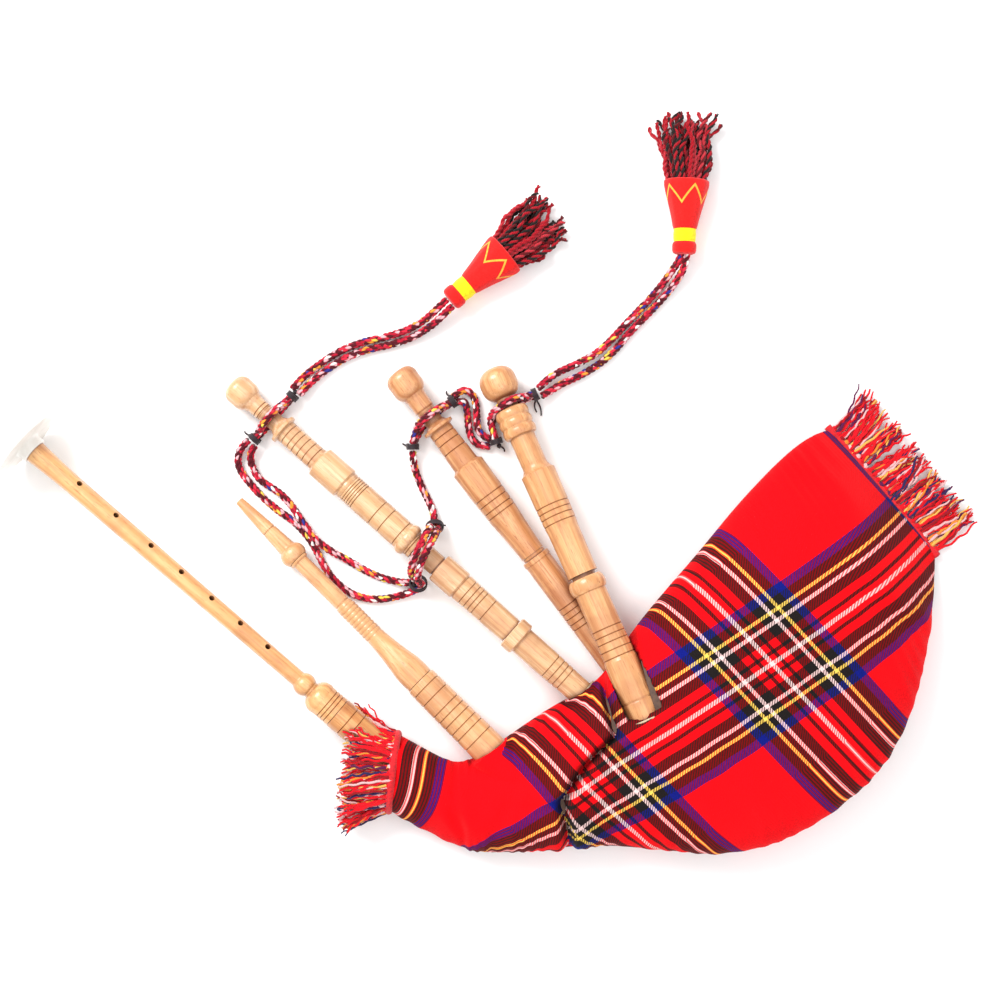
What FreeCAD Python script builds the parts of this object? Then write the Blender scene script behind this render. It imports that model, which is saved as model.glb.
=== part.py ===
import FreeCAD, Part

import math
import os

import Sketcher
from FreeCAD import Placement, Rotation, Vector

# A small set of Highland bagpipes lying on its side: three drones, a blowpipe and a chanter in
# a covered bag, with a cord that ties the drones together. Millimetres, +Z up, the surface that
# it lies on at Z 0, and the origin under the middle of the object without its cord.

DIMENSIONS = {
    # where each pipe's outer end is, which way it points in plan, and how it climbs to the bag
    "bass_x": -183.6, "bass_y": 157.3, "bass_z": 11.35, "bass_turn": -41.36, "bass_climb": 3.25,
    "left_x": -69.4, "left_y": 165.5, "left_z": 13.2, "left_turn": -53.15, "left_climb": 1.15,
    "right_x": -3.2, "right_y": 167.4, "right_z": 12.4, "right_turn": -66.37, "right_climb": 7.79,
    "blow_x": -179.6, "blow_y": 76.4, "blow_z": 5.5, "blow_turn": -44.35, "blow_climb": 4.75,
    "chanter_x": -316.7, "chanter_y": 110.3, "chanter_z": 27.0, "chanter_turn": -40.94,
    "chanter_climb": -1.03, "hole_roll": 48.0,
    # fits
    "running_clearance": 0.08, "shoulder_gap": 0.3, "slit_gap": 2.2,
    # bass drone
    "bass_top_length": 171.1, "bass_knob_radius": 10.6, "bass_hold_radius": 6.2,
    "bass_shaft_radius": 8.3, "bass_barrel_radius": 11.4, "bass_sleeve_radius": 10.2,
    "bass_bead_radius": 11.7, "bass_tail_radius": 9.3, "bass_pin_start": 130.0,
    "bass_pin_radius": 7.6, "bass_pin_core": 6.6, "bass_ferrule_start": 191.8,
    "bass_ferrule_radius": 10.6, "bass_foot": 258.0, "bass_foot_radius": 9.3,
    "bass_tenon_radius": 7.0, "bass_tenon_core": 5.9, "bass_tenon_end": 286.0,
    "bass_bore_radius": 3.0, "bass_stock_radius": 9.7, "bass_stock_bead": 12.1,
    "bass_stock_end": 345.0,
    # tenor drones
    "tenor_pin_radius": 6.5, "tenor_pin_core": 5.5, "tenor_pin_length": 51.8,
    "tenor_collar_radius": 8.4, "tenor_collar_width": 2.3, "tenor_tenon_radius": 6.9,
    "tenor_tenon_core": 5.8, "tenor_tenon_length": 27.9, "tenor_bore_radius": 2.8,
    "left_joint": 156.8, "left_knob_radius": 11.4, "left_hold_radius": 6.6,
    "left_shaft_radius": 8.6, "left_barrel_radius": 12.0, "left_tail_radius": 8.8,
    "left_stock_radius": 9.9, "left_stock_end": 285.0,
    "right_joint": 155.6, "right_knob_radius": 13.0, "right_hold_radius": 6.8,
    "right_shaft_radius": 9.0, "right_barrel_radius": 12.2, "right_tail_radius": 10.6,
    "right_stock_radius": 10.9, "right_stock_bead": 13.0, "right_stock_end": 272.0,
    # drone reeds
    "reed_radius": 3.4, "reed_bore": 2.2, "reed_length": 45.0, "reed_seat": 10.0,
    # blowpipe
    "mouthpiece_length": 58.3, "mouthpiece_tip": 3.1, "mouthpiece_bore": 2.0,
    "mouthpiece_bead": 9.3, "blow_tenon_radius": 4.5, "blow_tenon_core": 3.6,
    "blow_shaft_radius": 5.7, "blow_grip_radius": 6.6, "blow_foot": 177.6,
    "blow_foot_radius": 10.4, "blow_foot_tenon": 7.5, "blow_foot_core": 6.4,
    "blow_tenon_end": 205.0, "blow_bore_radius": 3.2, "blow_stock_start_radius": 11.3,
    "blow_stock_end_radius": 12.2, "blow_stock_end": 283.0,
    "seat_thickness": 2.5, "seat_radius": 7.3, "seat_bore": 3.0,
    "flap_radius": 5.0, "flap_thickness": 0.8, "flap_hinge": 5.4, "flap_gap": 0.15,
    # chanter
    "chanter_end_radius": 7.4, "chanter_bell_bore": 5.6, "chanter_throat": 1.9,
    "chanter_bead_radius": 7.9, "chanter_bulb_radius": 11.1, "chanter_shoulder": 273.4,
    "chanter_tenon_radius": 6.5, "chanter_tenon_core": 5.4, "chanter_tenon_end": 298.0,
    "finger_hole_radius": 2.0, "thumb_hole_station": 226.0, "chanter_stock_radius": 11.3,
    "chanter_stock_end": 352.0, "sole_radius": 27.0, "sole_thickness": 3.0,
    "sole_boss_radius": 9.6, "sole_inset": 8.0, "sole_lip": 1.6,
    # bag and fringes
    "cover_wall": 1.6, "bag_inset": 4.5, "bag_wall": 1.6, "rim_share": 0.8,
    "sleeve_wall": 2.0, "binding_width": 4.0, "binding_depth": 1.2, "binding_build": 0.7,
    "end_fringe_thickness": 6.0, "neck_fringe_wall": 2.6,
    # cord
    "cord_diameter": 5.6, "tie_radius": 6.1, "tie_width": 4.5, "tassel_head_radius": 13.0,
    "tassel_head_length": 46.0, "tassel_skirt_length": 54.0,
}

document = FreeCAD.newDocument("bagpipes")
sheet = document.addObject("Spreadsheet::Sheet", "dims")
for row, (alias, value) in enumerate(DIMENSIONS.items(), start=1):
    sheet.set("A%d" % row, alias)
    sheet.set("B%d" % row, str(value))
    sheet.setAlias("B%d" % row, alias)
document.recompute()

nodes = []


def dim(name):
    """The value of a driving dimension, read from the sheet."""
    return float(sheet.get(name))


def value_of(entry):
    """An outline's entry is a number or the name of a driving dimension."""
    return dim(entry) if isinstance(entry, str) else float(entry)


def pipe_frame(pipe, roll=0.0):
    """Placement of a pipe: local +Z runs from its outer end to the bag, and local +X points up."""
    turn = math.radians(dim(pipe + "_turn"))
    climb = math.radians(dim(pipe + "_climb"))
    along = Vector(math.cos(turn) * math.cos(climb), math.sin(turn) * math.cos(climb), math.sin(climb))
    side = Vector(math.sin(turn), -math.cos(turn), 0)
    upward = side.cross(along)
    place = Placement(
        Vector(dim(pipe + "_x"), dim(pipe + "_y"), dim(pipe + "_z")),
        Rotation(upward, along.cross(upward), along, "ZXY"),
    )
    return place * Placement(Vector(0, 0, 0), Rotation(Vector(0, 0, 1), roll))


def at_station(frame, station):
    return frame * Placement(Vector(0, 0, station), Rotation())


FRAMES = {pipe: pipe_frame(pipe) for pipe in ("bass", "left", "right", "blow", "chanter")}


# ---- outlines of turned pieces: (station, radius), or (station, radius, "crown") for the middle
# of an arc that joins the points on each side of it ----


def grooves(stations, radius, end_radius=None, half_width=0.55, depth=0.6):
    """Points of V-shaped ring grooves on a straight or tapering stretch."""
    end_radius = radius if end_radius is None else end_radius
    span = max(stations[-1] - stations[0], 1e-6)
    points = []
    for station in stations:
        here = radius + (end_radius - radius) * (station - stations[0]) / span
        points += [(station - half_width, here), (station, here - depth), (station + half_width, here)]
    return points


def combing(start, end, radius, count, depth=0.7):
    """Points of close rounded combing: count equal scallops."""
    pitch = (end - start) / count
    points = [(start, radius - depth)]
    for i in range(count):
        points += [
            (start + (i + 0.5) * pitch, radius, "crown"),
            (start + (i + 1) * pitch, radius - depth),
        ]
    return points


def bead(start, end, foot, crown):
    """Points of a half-round bead."""
    return [(start, foot), ((start + end) / 2, value_of(crown), "crown"), (end, foot)]


def turned(label, outline, frame):
    """A turned piece: its closed outline, in a sketch, revolved about the body's Z axis."""
    body = document.addObject("PartDesign::Body", label)
    plane = [f for f in body.Origin.OriginFeatures if f.Role == "XZ_Plane"][0]
    sketch = body.newObject("Sketcher::SketchObject", label + "_outline")
    sketch.AttachmentSupport = [(plane, "")]
    sketch.MapMode = "FlatFace"
    corners = [entry for entry in outline if len(entry) == 2]
    spots = [Vector(value_of(radius), value_of(station), 0) for station, radius in corners]
    crowns = {}
    count = 0
    for entry in outline:
        if len(entry) == 3:
            crowns[count - 1] = Vector(value_of(entry[1]), value_of(entry[0]), 0)
        else:
            count += 1
    last = len(spots)
    for i, spot in enumerate(spots):
        following = spots[(i + 1) % last]
        if i in crowns:
            sketch.addGeometry(Part.Arc(spot, crowns[i], following), False)
        else:
            sketch.addGeometry(Part.LineSegment(spot, following), False)
    # an arc runs anticlockwise in a sketch, so its first point may be the outline's second
    starts = {}
    for i, spot in enumerate(spots):
        point = sketch.getPoint(i, 1)
        starts[i] = 1 if point.distanceToPoint(spot) < 1e-6 else 2
    for i in range(last):
        j = (i + 1) % last
        sketch.addConstraint(Sketcher.Constraint("Coincident", i, 3 - starts[i], j, starts[j]))
    for i, (station, radius) in enumerate(corners):
        for kind, entry in (("DistanceX", radius), ("DistanceY", station)):
            if isinstance(entry, str):
                number = sketch.addConstraint(
                    Sketcher.Constraint(kind, -1, 1, i, starts[i], value_of(entry))
                )
                sketch.renameConstraint(number, "%s_%d" % (kind, i))
                sketch.setExpression("Constraints.%s_%d" % (kind, i), "dims." + entry)
    revolution = body.newObject("PartDesign::Revolution", label + "_turning")
    revolution.Profile = sketch
    revolution.ReferenceAxis = (sketch, ["V_Axis"])
    revolution.Angle = 360
    body.Placement = frame
    nodes.append(body)
    return body


def cylinder(name, radius, height, station=0.0):
    """A helper cylinder on the local Z axis, its sizes given as sheet expressions."""
    tool = document.addObject("Part::Cylinder", name)
    tool.setExpression("Radius", radius)
    tool.setExpression("Height", height)
    tool.Placement = Placement(Vector(0, 0, station), Rotation())
    return tool


def ring(name, outer, inner, length, station):
    """A plain ring, bored right through."""
    cut = document.addObject("Part::Cut", name)
    cut.Base = cylinder(name + "_outside", outer, length)
    cut.Tool = cylinder(name + "_inside", inner, length + " + 2", -1.0)
    cut.Placement = Placement(Vector(0, 0, station), Rotation())
    return cut


def group(label, members, frame):
    """Separate solids of one kind, kept in one node."""
    compound = document.addObject("Part::Compound", label)
    compound.Links = members
    compound.Placement = frame
    nodes.append(compound)
    return compound


def solid(label, shape, frame=None):
    """A piece whose shape is made with Part's own functions."""
    feature = document.addObject("Part::Feature", label)
    feature.Shape = shape
    if frame is not None:
        feature.Placement = frame
    nodes.append(feature)
    return feature


# ---- drones ----


def drone_reed(label, station, frame):
    """A tubular drone reed: a blind tube, pressed in the tenon's end."""
    cut = document.addObject("Part::Cut", label)
    cut.Base = cylinder(label + "_tube", "dims.reed_radius", "dims.reed_length")
    cut.Tool = cylinder(label + "_bore", "dims.reed_bore", "dims.reed_length - 3", -1.0)
    cut.Placement = at_station(frame, station)
    nodes.append(cut)


def bell(radius):
    """The sound chamber in a drone's outer end, read from the inside out."""
    return [(17.0, 3.5), (13.5, radius), (2.0, radius), (0.0, radius - 2.0)]


def bass_drone():
    frame = FRAMES["bass"]
    clearance = dim("running_clearance")
    length = dim("bass_top_length")
    chamber = dim("bass_pin_radius") + clearance
    top = [(0.0, 6.0), (2.4, 9.4, "crown"), (7.0, "bass_knob_radius"), (11.5, "bass_knob_radius")]
    top += [(15.6, 9.7, "crown"), (18.0, 7.9), (21.4, 6.6)]
    top += grooves([26.2, 29.0], 6.6) + [(30.4, "bass_hold_radius"), (41.6, "bass_hold_radius")]
    top += [(44.6, 7.6, "crown"), (46.6, 10.7), (48.6, 10.7), (49.6, "bass_shaft_radius")]
    top += grooves([53.1, 58.0, 62.1, 66.9, 71.8, 77.3], dim("bass_shaft_radius"))
    top += [(80.0, "bass_shaft_radius"), (82.1, "bass_barrel_radius"), (104.2, "bass_barrel_radius")]
    top += [(105.6, 9.9), (107.0, "bass_sleeve_radius")] + combing(109.0, 118.5, 10.2, 5)
    top += [(119.0, "bass_sleeve_radius")] + grooves([135.2, 143.5, 157.0], 10.2)
    top += bead(159.4, 166.3, 10.2, "bass_bead_radius") + [(166.9, "bass_tail_radius")]
    top += grooves([168.4], 9.3) + [("bass_top_length", "bass_tail_radius")]
    top += [(length, chamber), (length - 62.0, chamber), (length - 64.0, 3.5)] + bell(6.5)
    turned("bass_top", top, frame)

    bottom = [("bass_pin_start", 6.9), (131.0, "bass_pin_radius"), (134.0, "bass_pin_radius")]
    bottom += [(134.0, "bass_pin_core"), (166.0, "bass_pin_core"), (166.0, "bass_pin_radius")]
    bottom += [(190.4, "bass_pin_radius"), (190.4, 7.0), ("bass_ferrule_start", 7.0)]
    bottom += [("bass_ferrule_start", 10.1), (192.6, "bass_ferrule_radius")]
    bottom += [(210.4, "bass_ferrule_radius"), (211.0, 10.0), (211.8, 9.3), (212.6, 9.9)]
    bottom += grooves([218.0, 222.2, 225.6, 229.1, 236.7], 9.8, 9.5)
    bottom += [(256.0, "bass_foot_radius"), ("bass_foot", 9.1), ("bass_foot", "bass_tenon_radius")]
    bottom += [(261.0, "bass_tenon_radius"), (261.0, "bass_tenon_core")]
    bottom += [(283.0, "bass_tenon_core"), (283.0, "bass_tenon_radius")]
    bottom += [("bass_tenon_end", "bass_tenon_radius"), ("bass_tenon_end", "reed_radius")]
    seat = dim("bass_tenon_end") - dim("reed_seat")
    bottom += [(seat, "reed_radius"), (seat, "bass_bore_radius")]
    bottom += [("bass_pin_start", "bass_bore_radius")]
    turned("bass_bottom", bottom, frame)

    windings = [
        ring("bass_pin_winding", "dims.bass_pin_radius", "dims.bass_pin_core", "32", 134.0),
        ring("bass_tenon_winding", "dims.bass_tenon_radius", "dims.bass_tenon_core", "22", 261.0),
    ]
    group("bass_hemp", windings, frame)
    drone_reed("bass_reed", seat, frame)

    start = dim("bass_foot") + dim("shoulder_gap")
    bore = dim("bass_tenon_radius") + clearance
    stock = [(start, 11.2), (start + 0.8, "bass_stock_bead"), (266.4, "bass_stock_bead")]
    stock += [(267.7, "bass_stock_radius")] + grooves([293.9, 298.8, 302.9, 307.0], 9.7, 9.2)
    stock += [(311.0, 9.0)]
    stock += [("bass_stock_end", 9.0), ("bass_stock_end", 6.0), (290.0, 6.0)]
    stock += [(288.0, bore), (start, bore)]
    turned("bass_stock", stock, frame)


def tenor_bottom(side):
    """A tenor's bottom joint: tuning pin, thin collar and tenon, with its windings and reed."""
    frame = FRAMES[side]
    joint = dim(side + "_joint")
    pin_start = joint - dim("tenor_pin_length")
    collar_end = joint + dim("tenor_collar_width")
    tenon_end = collar_end + dim("tenor_tenon_length")
    winding_start, winding_end = pin_start + 5.0, joint - 8.8
    tenon_start = collar_end + 2.9
    seat = tenon_end - dim("reed_seat")
    outline = [(pin_start, 6.0), (pin_start + 1.0, "tenor_pin_radius")]
    outline += [(winding_start, "tenor_pin_radius"), (winding_start, "tenor_pin_core")]
    outline += [(winding_end, "tenor_pin_core"), (winding_end, "tenor_pin_radius")]
    outline += [(joint, "tenor_pin_radius"), (joint, "tenor_collar_radius")]
    outline += [(collar_end, "tenor_collar_radius"), (collar_end, "tenor_tenon_radius")]
    outline += [(tenon_start, "tenor_tenon_radius"), (tenon_start, "tenor_tenon_core")]
    outline += [(tenon_end - 3.0, "tenor_tenon_core"), (tenon_end - 3.0, "tenor_tenon_radius")]
    outline += [(tenon_end, "tenor_tenon_radius"), (tenon_end, "reed_radius")]
    outline += [(seat, "reed_radius"), (seat, "tenor_bore_radius")]
    outline += [(pin_start, "tenor_bore_radius")]
    name = "tenor_" + side
    turned(name + "_bottom", outline, frame)
    windings = [
        ring(name + "_pin_winding", "dims.tenor_pin_radius", "dims.tenor_pin_core",
             "%.2f" % (winding_end - winding_start), winding_start),
        ring(name + "_tenon_winding", "dims.tenor_tenon_radius", "dims.tenor_tenon_core",
             "%.2f" % (tenon_end - 3.0 - tenon_start), tenon_start),
    ]
    group(name + "_hemp", windings, frame)
    drone_reed(name + "_reed", seat, frame)
    return collar_end + dim("shoulder_gap")


def tenor_left():
    frame = FRAMES["left"]
    joint = dim("left_joint")
    end = joint - 0.2
    chamber = dim("tenor_pin_radius") + dim("running_clearance")
    top = [(0.0, 6.2), (2.6, 10.2, "crown"), (8.0, "left_knob_radius"), (12.5, "left_knob_radius")]
    top += [(17.4, 10.4, "crown"), (20.0, 8.2), (22.4, 7.4), (31.6, 7.2)]
    top += [(32.8, "left_hold_radius"), (43.6, "left_hold_radius")]
    top += [(45.6, 8.0, "crown"), (46.9, 11.4), (48.8, 11.4), (50.0, "left_shaft_radius")]
    top += grooves([54.5, 60.0, 67.0], 8.7, 9.1) + [(80.0, 9.5), (82.1, "left_barrel_radius")]
    top += [(104.5, 11.7)] + grooves([106.3, 111.1, 116.6, 120.8], 11.6, 11.1)
    top += [(125.0, 10.8), (133.9, 10.0), (154.6, "left_tail_radius"), (end, "left_tail_radius")]
    top += [(end, chamber), (end - 57.6, chamber), (end - 59.6, 3.4)] + bell(6.8)
    turned("tenor_left_top", top, frame)

    start = tenor_bottom("left")
    bore = dim("tenor_tenon_radius") + dim("running_clearance")
    stock = [(start, 9.8), (start + 0.6, 10.4), (start + 3.2, 10.4), (start + 4.0, "left_stock_radius")]
    stock += grooves([199.4, 203.7, 208.0, 212.4, 216.7], 9.9)
    stock += [(264.0, "left_stock_radius")]
    stock += [("left_stock_end", "left_stock_radius"), ("left_stock_end", 6.2), (192.0, 6.2)]
    stock += [(190.0, bore), (start, bore)]
    turned("tenor_left_stock", stock, frame)


def tenor_right():
    frame = FRAMES["right"]
    joint = dim("right_joint")
    end = joint - 0.2
    chamber = dim("tenor_pin_radius") + dim("running_clearance")
    top = [(0.0, 6.0), (2.9, 10.6, "crown"), (9.6, "right_knob_radius"), (12.6, "right_knob_radius")]
    top += [(19.0, 11.0, "crown"), (22.0, 7.6), (22.6, "right_hold_radius")]
    top += [(30.2, "right_hold_radius"), (30.7, 10.4)]
    for start in (31.2, 37.9, 44.6):
        top += bead(start, start + 6.1, 11.0, 11.9)
    top += [(51.4, "right_shaft_radius"), (71.5, "right_shaft_radius"), (76.5, 9.9, "crown")]
    top += [(78.9, "right_barrel_radius"), (102.0, 11.9)]
    top += grooves([103.6, 107.7, 111.8, 116.6], 11.8, 11.5)
    top += [(121.4, 11.0), (152.2, "right_tail_radius"), (end, "right_tail_radius")]
    top += [(end, chamber), (end - 57.6, chamber), (end - 59.6, 3.4)] + bell(7.2)
    turned("tenor_right_top", top, frame)

    start = tenor_bottom("right")
    bore = dim("tenor_tenon_radius") + dim("running_clearance")
    stock = [(start, 11.4), (start + 4.9, "right_stock_bead", "crown"), (start + 9.8, 11.8)]
    stock += [(start + 10.4, "right_stock_radius")]
    stock += grooves([195.5, 200.3, 205.0, 210.5, 216.0], 10.9, 11.2)
    stock += [(219.0, 11.8), (246.8, 12.6), (248.3, 12.0), (249.4, 12.5)]
    stock += [(262.0, 12.4)]
    stock += [("right_stock_end", 12.4), ("right_stock_end", bore), (start, bore)]
    turned("tenor_right_stock", stock, frame)


# ---- blowpipe ----


def blowpipe():
    frame = FRAMES["blow"]
    clearance = dim("running_clearance")
    length = dim("mouthpiece_length")
    socket = dim("blow_tenon_radius") + clearance
    piece = [(0.0, 2.7), (0.35, 3.0, "crown"), (1.2, "mouthpiece_tip"), (29.1, 5.1)]
    piece += [(29.8, 4.6), (30.5, 5.2), (46.5, 6.1), (47.9, 6.3)]
    piece += [(53.0, "mouthpiece_bead", "crown"), (length, 7.4)]
    piece += [("mouthpiece_length", socket), (44.0, socket), (43.0, "mouthpiece_bore")]
    piece += [(0.0, "mouthpiece_bore")]
    turned("mouthpiece", piece, frame)

    stick = [(44.5, 4.2), (45.0, "blow_tenon_radius"), (47.0, "blow_tenon_radius")]
    stick += [(47.0, "blow_tenon_core"), (56.0, "blow_tenon_core"), (56.0, "blow_tenon_radius")]
    stick += [(58.6, "blow_tenon_radius"), (58.6, 7.2), (59.9, 6.9, "crown"), (60.8, 5.9)]
    stick += [(61.6, "blow_shaft_radius"), (101.0, 5.8), (102.0, 5.3), (103.0, 6.0)]
    stick += [(104.6, 6.4)] + combing(105.4, 133.2, 6.7, 9, 0.5)
    stick += [(134.0, 6.4), (150.0, 8.1, "crown"), (164.4, 10.4), (171.0, 10.7, "crown")]
    stick += [("blow_foot", "blow_foot_radius"), ("blow_foot", "blow_foot_tenon")]
    stick += [(180.0, "blow_foot_tenon"), (180.0, "blow_foot_core"), (201.0, "blow_foot_core")]
    stick += [(201.0, "blow_foot_tenon"), ("blow_tenon_end", "blow_foot_tenon")]
    stick += [("blow_tenon_end", "blow_bore_radius"), (72.0, "blow_bore_radius")]
    stick += [(70.0, 2.2), (44.5, 2.2)]
    turned("blowpipe", stick, frame)
    windings = [
        ring("blow_tenon_winding", "dims.blow_tenon_radius", "dims.blow_tenon_core", "9", 47.0),
        ring("blow_foot_winding", "dims.blow_foot_tenon", "dims.blow_foot_core", "21", 180.0),
    ]
    group("blowpipe_hemp", windings, frame)

    seat = ring("valve_seat", "dims.seat_radius", "dims.seat_bore", "dims.seat_thickness", 0.0)
    seat.Placement = at_station(frame, dim("blow_tenon_end"))
    nodes.append(seat)
    flap_station = dim("blow_tenon_end") + dim("seat_thickness") + dim("flap_gap")
    disc = cylinder("valve_disc", "dims.flap_radius", "dims.flap_thickness")
    tab = document.addObject("Part::Box", "valve_tab")
    tab.setExpression("Length", "dims.flap_hinge - 2")
    tab.Width = 4.0
    tab.setExpression("Height", "dims.flap_thickness")
    tab.Placement = Placement(Vector(2.0, -2.0, 0.0), Rotation())
    flap = document.addObject("Part::Fuse", "valve_flap")
    flap.Base = disc
    flap.Tool = tab
    flap.Placement = at_station(frame, flap_station)
    nodes.append(flap)

    start = dim("blow_foot") + 0.4
    bore = dim("blow_foot_tenon") + clearance
    stock = [(start, 10.8), (start + 0.9, "blow_stock_start_radius")]
    stations = [183.8, 192.2, 202.6, 208.1, 213.7, 219.9, 225.5, 233.8]
    stock += grooves(stations, 11.4, 12.1) + [(247.6, "blow_stock_end_radius")]
    stock += [(262.0, "blow_stock_end_radius")]
    stock += [("blow_stock_end", "blow_stock_end_radius"), ("blow_stock_end", bore), (start, bore)]
    turned("blowpipe_stock", stock, frame)


# ---- chanter ----

FINGER_HOLES = [38.4, 71.3, 102.8, 130.2, 157.6, 183.6, 208.3]


def drill(body, name, stations, depth, reverse):
    """Round holes through one wall: circles on the body's XZ plane, pocketed to one side."""
    plane = [f for f in body.Origin.OriginFeatures if f.Role == "XZ_Plane"][0]
    sketch = body.newObject("Sketcher::SketchObject", name + "_sketch")
    sketch.AttachmentSupport = [(plane, "")]
    sketch.MapMode = "FlatFace"
    for i, station in enumerate(stations):
        centre = Vector(0, station, 0)
        sketch.addGeometry(Part.Circle(centre, Vector(0, 0, 1), dim("finger_hole_radius")), False)
        number = sketch.addConstraint(Sketcher.Constraint("Radius", i, dim("finger_hole_radius")))
        sketch.renameConstraint(number, "hole_%d" % i)
        sketch.setExpression("Constraints.hole_%d" % i, "dims.finger_hole_radius")
        sketch.addConstraint(Sketcher.Constraint("PointOnObject", i, 3, -2))
        sketch.addConstraint(Sketcher.Constraint("DistanceY", -1, 1, i, 3, station))
    document.recompute()
    before = body.Shape.Volume
    pocket = body.newObject("PartDesign::Pocket", name)
    pocket.Profile = sketch
    pocket.Length = depth
    pocket.Reversed = reverse
    document.recompute()
    if before - body.Shape.Volume < 1.0:
        raise RuntimeError(name + " cut nothing")


def chanter():
    frame = FRAMES["chanter"]
    shoulder = dim("chanter_shoulder")
    inset = dim("sole_inset")
    pipe = [(-inset, "chanter_end_radius"), (0.5, "chanter_end_radius"), (0.5, 7.9), (1.6, 7.9)]
    pipe += [(20.0, 6.9, "crown"), (45.2, 6.5), (113.7, 6.3), (182.3, 5.9), (238.4, 5.6)]
    pipe += bead(239.1, 249.4, 5.9, "chanter_bead_radius") + [(250.8, 5.9)]
    pipe += [(253.6, 10.0, "crown"), (261.0, "chanter_bulb_radius")]
    pipe += grooves([264.5, 267.2, 270.0], 11.1, half_width=0.45)
    pipe += [("chanter_shoulder", "chanter_bulb_radius"), (shoulder, "chanter_tenon_radius")]
    pipe += [(276.0, "chanter_tenon_radius"), (276.0, "chanter_tenon_core")]
    pipe += [(294.0, "chanter_tenon_core"), (294.0, "chanter_tenon_radius")]
    pipe += [("chanter_tenon_end", "chanter_tenon_radius"), ("chanter_tenon_end", 2.6)]
    pipe += [(286.0, 2.6), (286.0, "chanter_throat"), (-inset, "chanter_bell_bore")]
    body = turned("chanter", pipe, pipe_frame("chanter", dim("hole_roll")))
    drill(body, "finger_holes", FINGER_HOLES, 9.0, True)
    drill(body, "thumb_hole", [dim("thumb_hole_station")], 9.0, False)

    face = -inset - dim("sole_lip")
    back = face + dim("sole_thickness")
    rim = dim("sole_radius")
    sole = [(face, rim - 1.2), (face + 0.35, rim - 0.35, "crown"), (face + 1.2, "sole_radius")]
    sole += [(back - 0.8, "sole_radius"), (back - 0.25, rim - 0.25, "crown"), (back, rim - 0.8)]
    sole += [(back, 11.4), (back + 0.6, 10.2, "crown"), (back + 1.8, "sole_boss_radius")]
    sole += [(-0.2, "sole_boss_radius"), (0.4, 9.0), (0.4, "chanter_end_radius")]
    sole += [(-inset, "chanter_end_radius"), (-inset, 6.0), (face, 6.0)]
    turned("chanter_sole", sole, frame)

    winding = ring("chanter_winding", "dims.chanter_tenon_radius", "dims.chanter_tenon_core", "18", 276.0)
    group("chanter_hemp", [winding], frame)
    reed = [(286.0, 2.6), (300.0, 2.6), (301.0, 3.4), (306.0, 3.4), (307.0, 3.0), (330.0, 4.4)]
    reed += [(330.0, 3.6), (306.0, 1.6), (286.0, 1.6)]
    turned("chanter_reed", reed, frame)

    start = shoulder + dim("shoulder_gap")
    bore = dim("chanter_tenon_radius") + dim("running_clearance")
    stock = [(start, 10.7), (start + 0.9, "chanter_stock_radius")] + grooves([283.0, 290.0], 11.3)
    stock += [(332.0, "chanter_stock_radius")]
    stock += [("chanter_stock_end", "chanter_stock_radius"), ("chanter_stock_end", 8.2)]
    stock += [(302.0, 8.2), (300.0, bore), (start, bore)]
    turned("chanter_stock", stock, frame)


# ---- bag: sections across it, each the two rim points in plan and the half thickness ----

SECTIONS = [
    ((-68.5, -84.7), (-74.7, -137.2), 20.5),
    ((-41.5, -99.2), (-52.6, -149.6), 20.5),
    ((-27.0, -110.1), (-20.8, -166.0), 21.5),
    ((4.8, -87.6), (2.0, -166.1), 25.0),
    ((40.8, -61.8), (40.5, -162.1), 29.0),
    ((72.7, -48.0), (72.7, -158.5), 30.0),
    ((89.5, -13.3), (125.1, -164.1), 36.0),
    ((136.5, 39.4), (179.6, -165.5), 38.0),
    ((158.4, 67.4), (234.9, -135.4), 38.0),
    ((179.8, 90.7), (276.2, -93.3), 36.0),
    ((201.8, 112.0), (295.8, -32.8), 30.0),
    ((218.3, 122.6), (301.9, 9.3), 20.0),
    ((231.6, 125.9), (305.6, 40.0), 4.5),
]
SECTION_POINTS = 14
# pipe, station where its stock goes through the cover, the stock's radius, its binding's station
ENTRIES = [
    ("bass", 296.0, 9.2, "bass_stock_end", 9.0, 322.0),
    ("left", 236.0, 9.9, "left_stock_end", 9.9, 264.0),
    ("right", 188.0, 12.6, "right_stock_end", 12.4, 262.0),
    ("blow", 236.0, 12.2, "blow_stock_end", 12.2, 262.0),
    ("chanter", 300.0, 11.3, "chanter_stock_end", 11.3, 332.0),
]


def section_points(upper, lower, half_thickness, inset):
    """Control points round the bag at one section: an ellipse, inset on all sides."""
    first = Vector(upper[0], upper[1], 0)
    second = Vector(lower[0], lower[1], 0)
    middle = (first + second) * 0.5
    half = (first - second) * 0.5
    width = half.Length
    across = half * (1.0 / width)
    height = dim("rim_share") * half_thickness
    # a cubic spline runs a little inside the control points that it follows
    swell = 3.0 / (2.0 + math.cos(2 * math.pi / SECTION_POINTS))
    points = []
    for i in range(SECTION_POINTS):
        angle = 2 * math.pi * i / SECTION_POINTS
        reach = swell * (width - inset) * math.cos(angle)
        rise = swell * max(half_thickness - inset, 0.6) * math.sin(angle)
        points.append(middle + across * reach + Vector(0, 0, height + rise))
    return points


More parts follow.
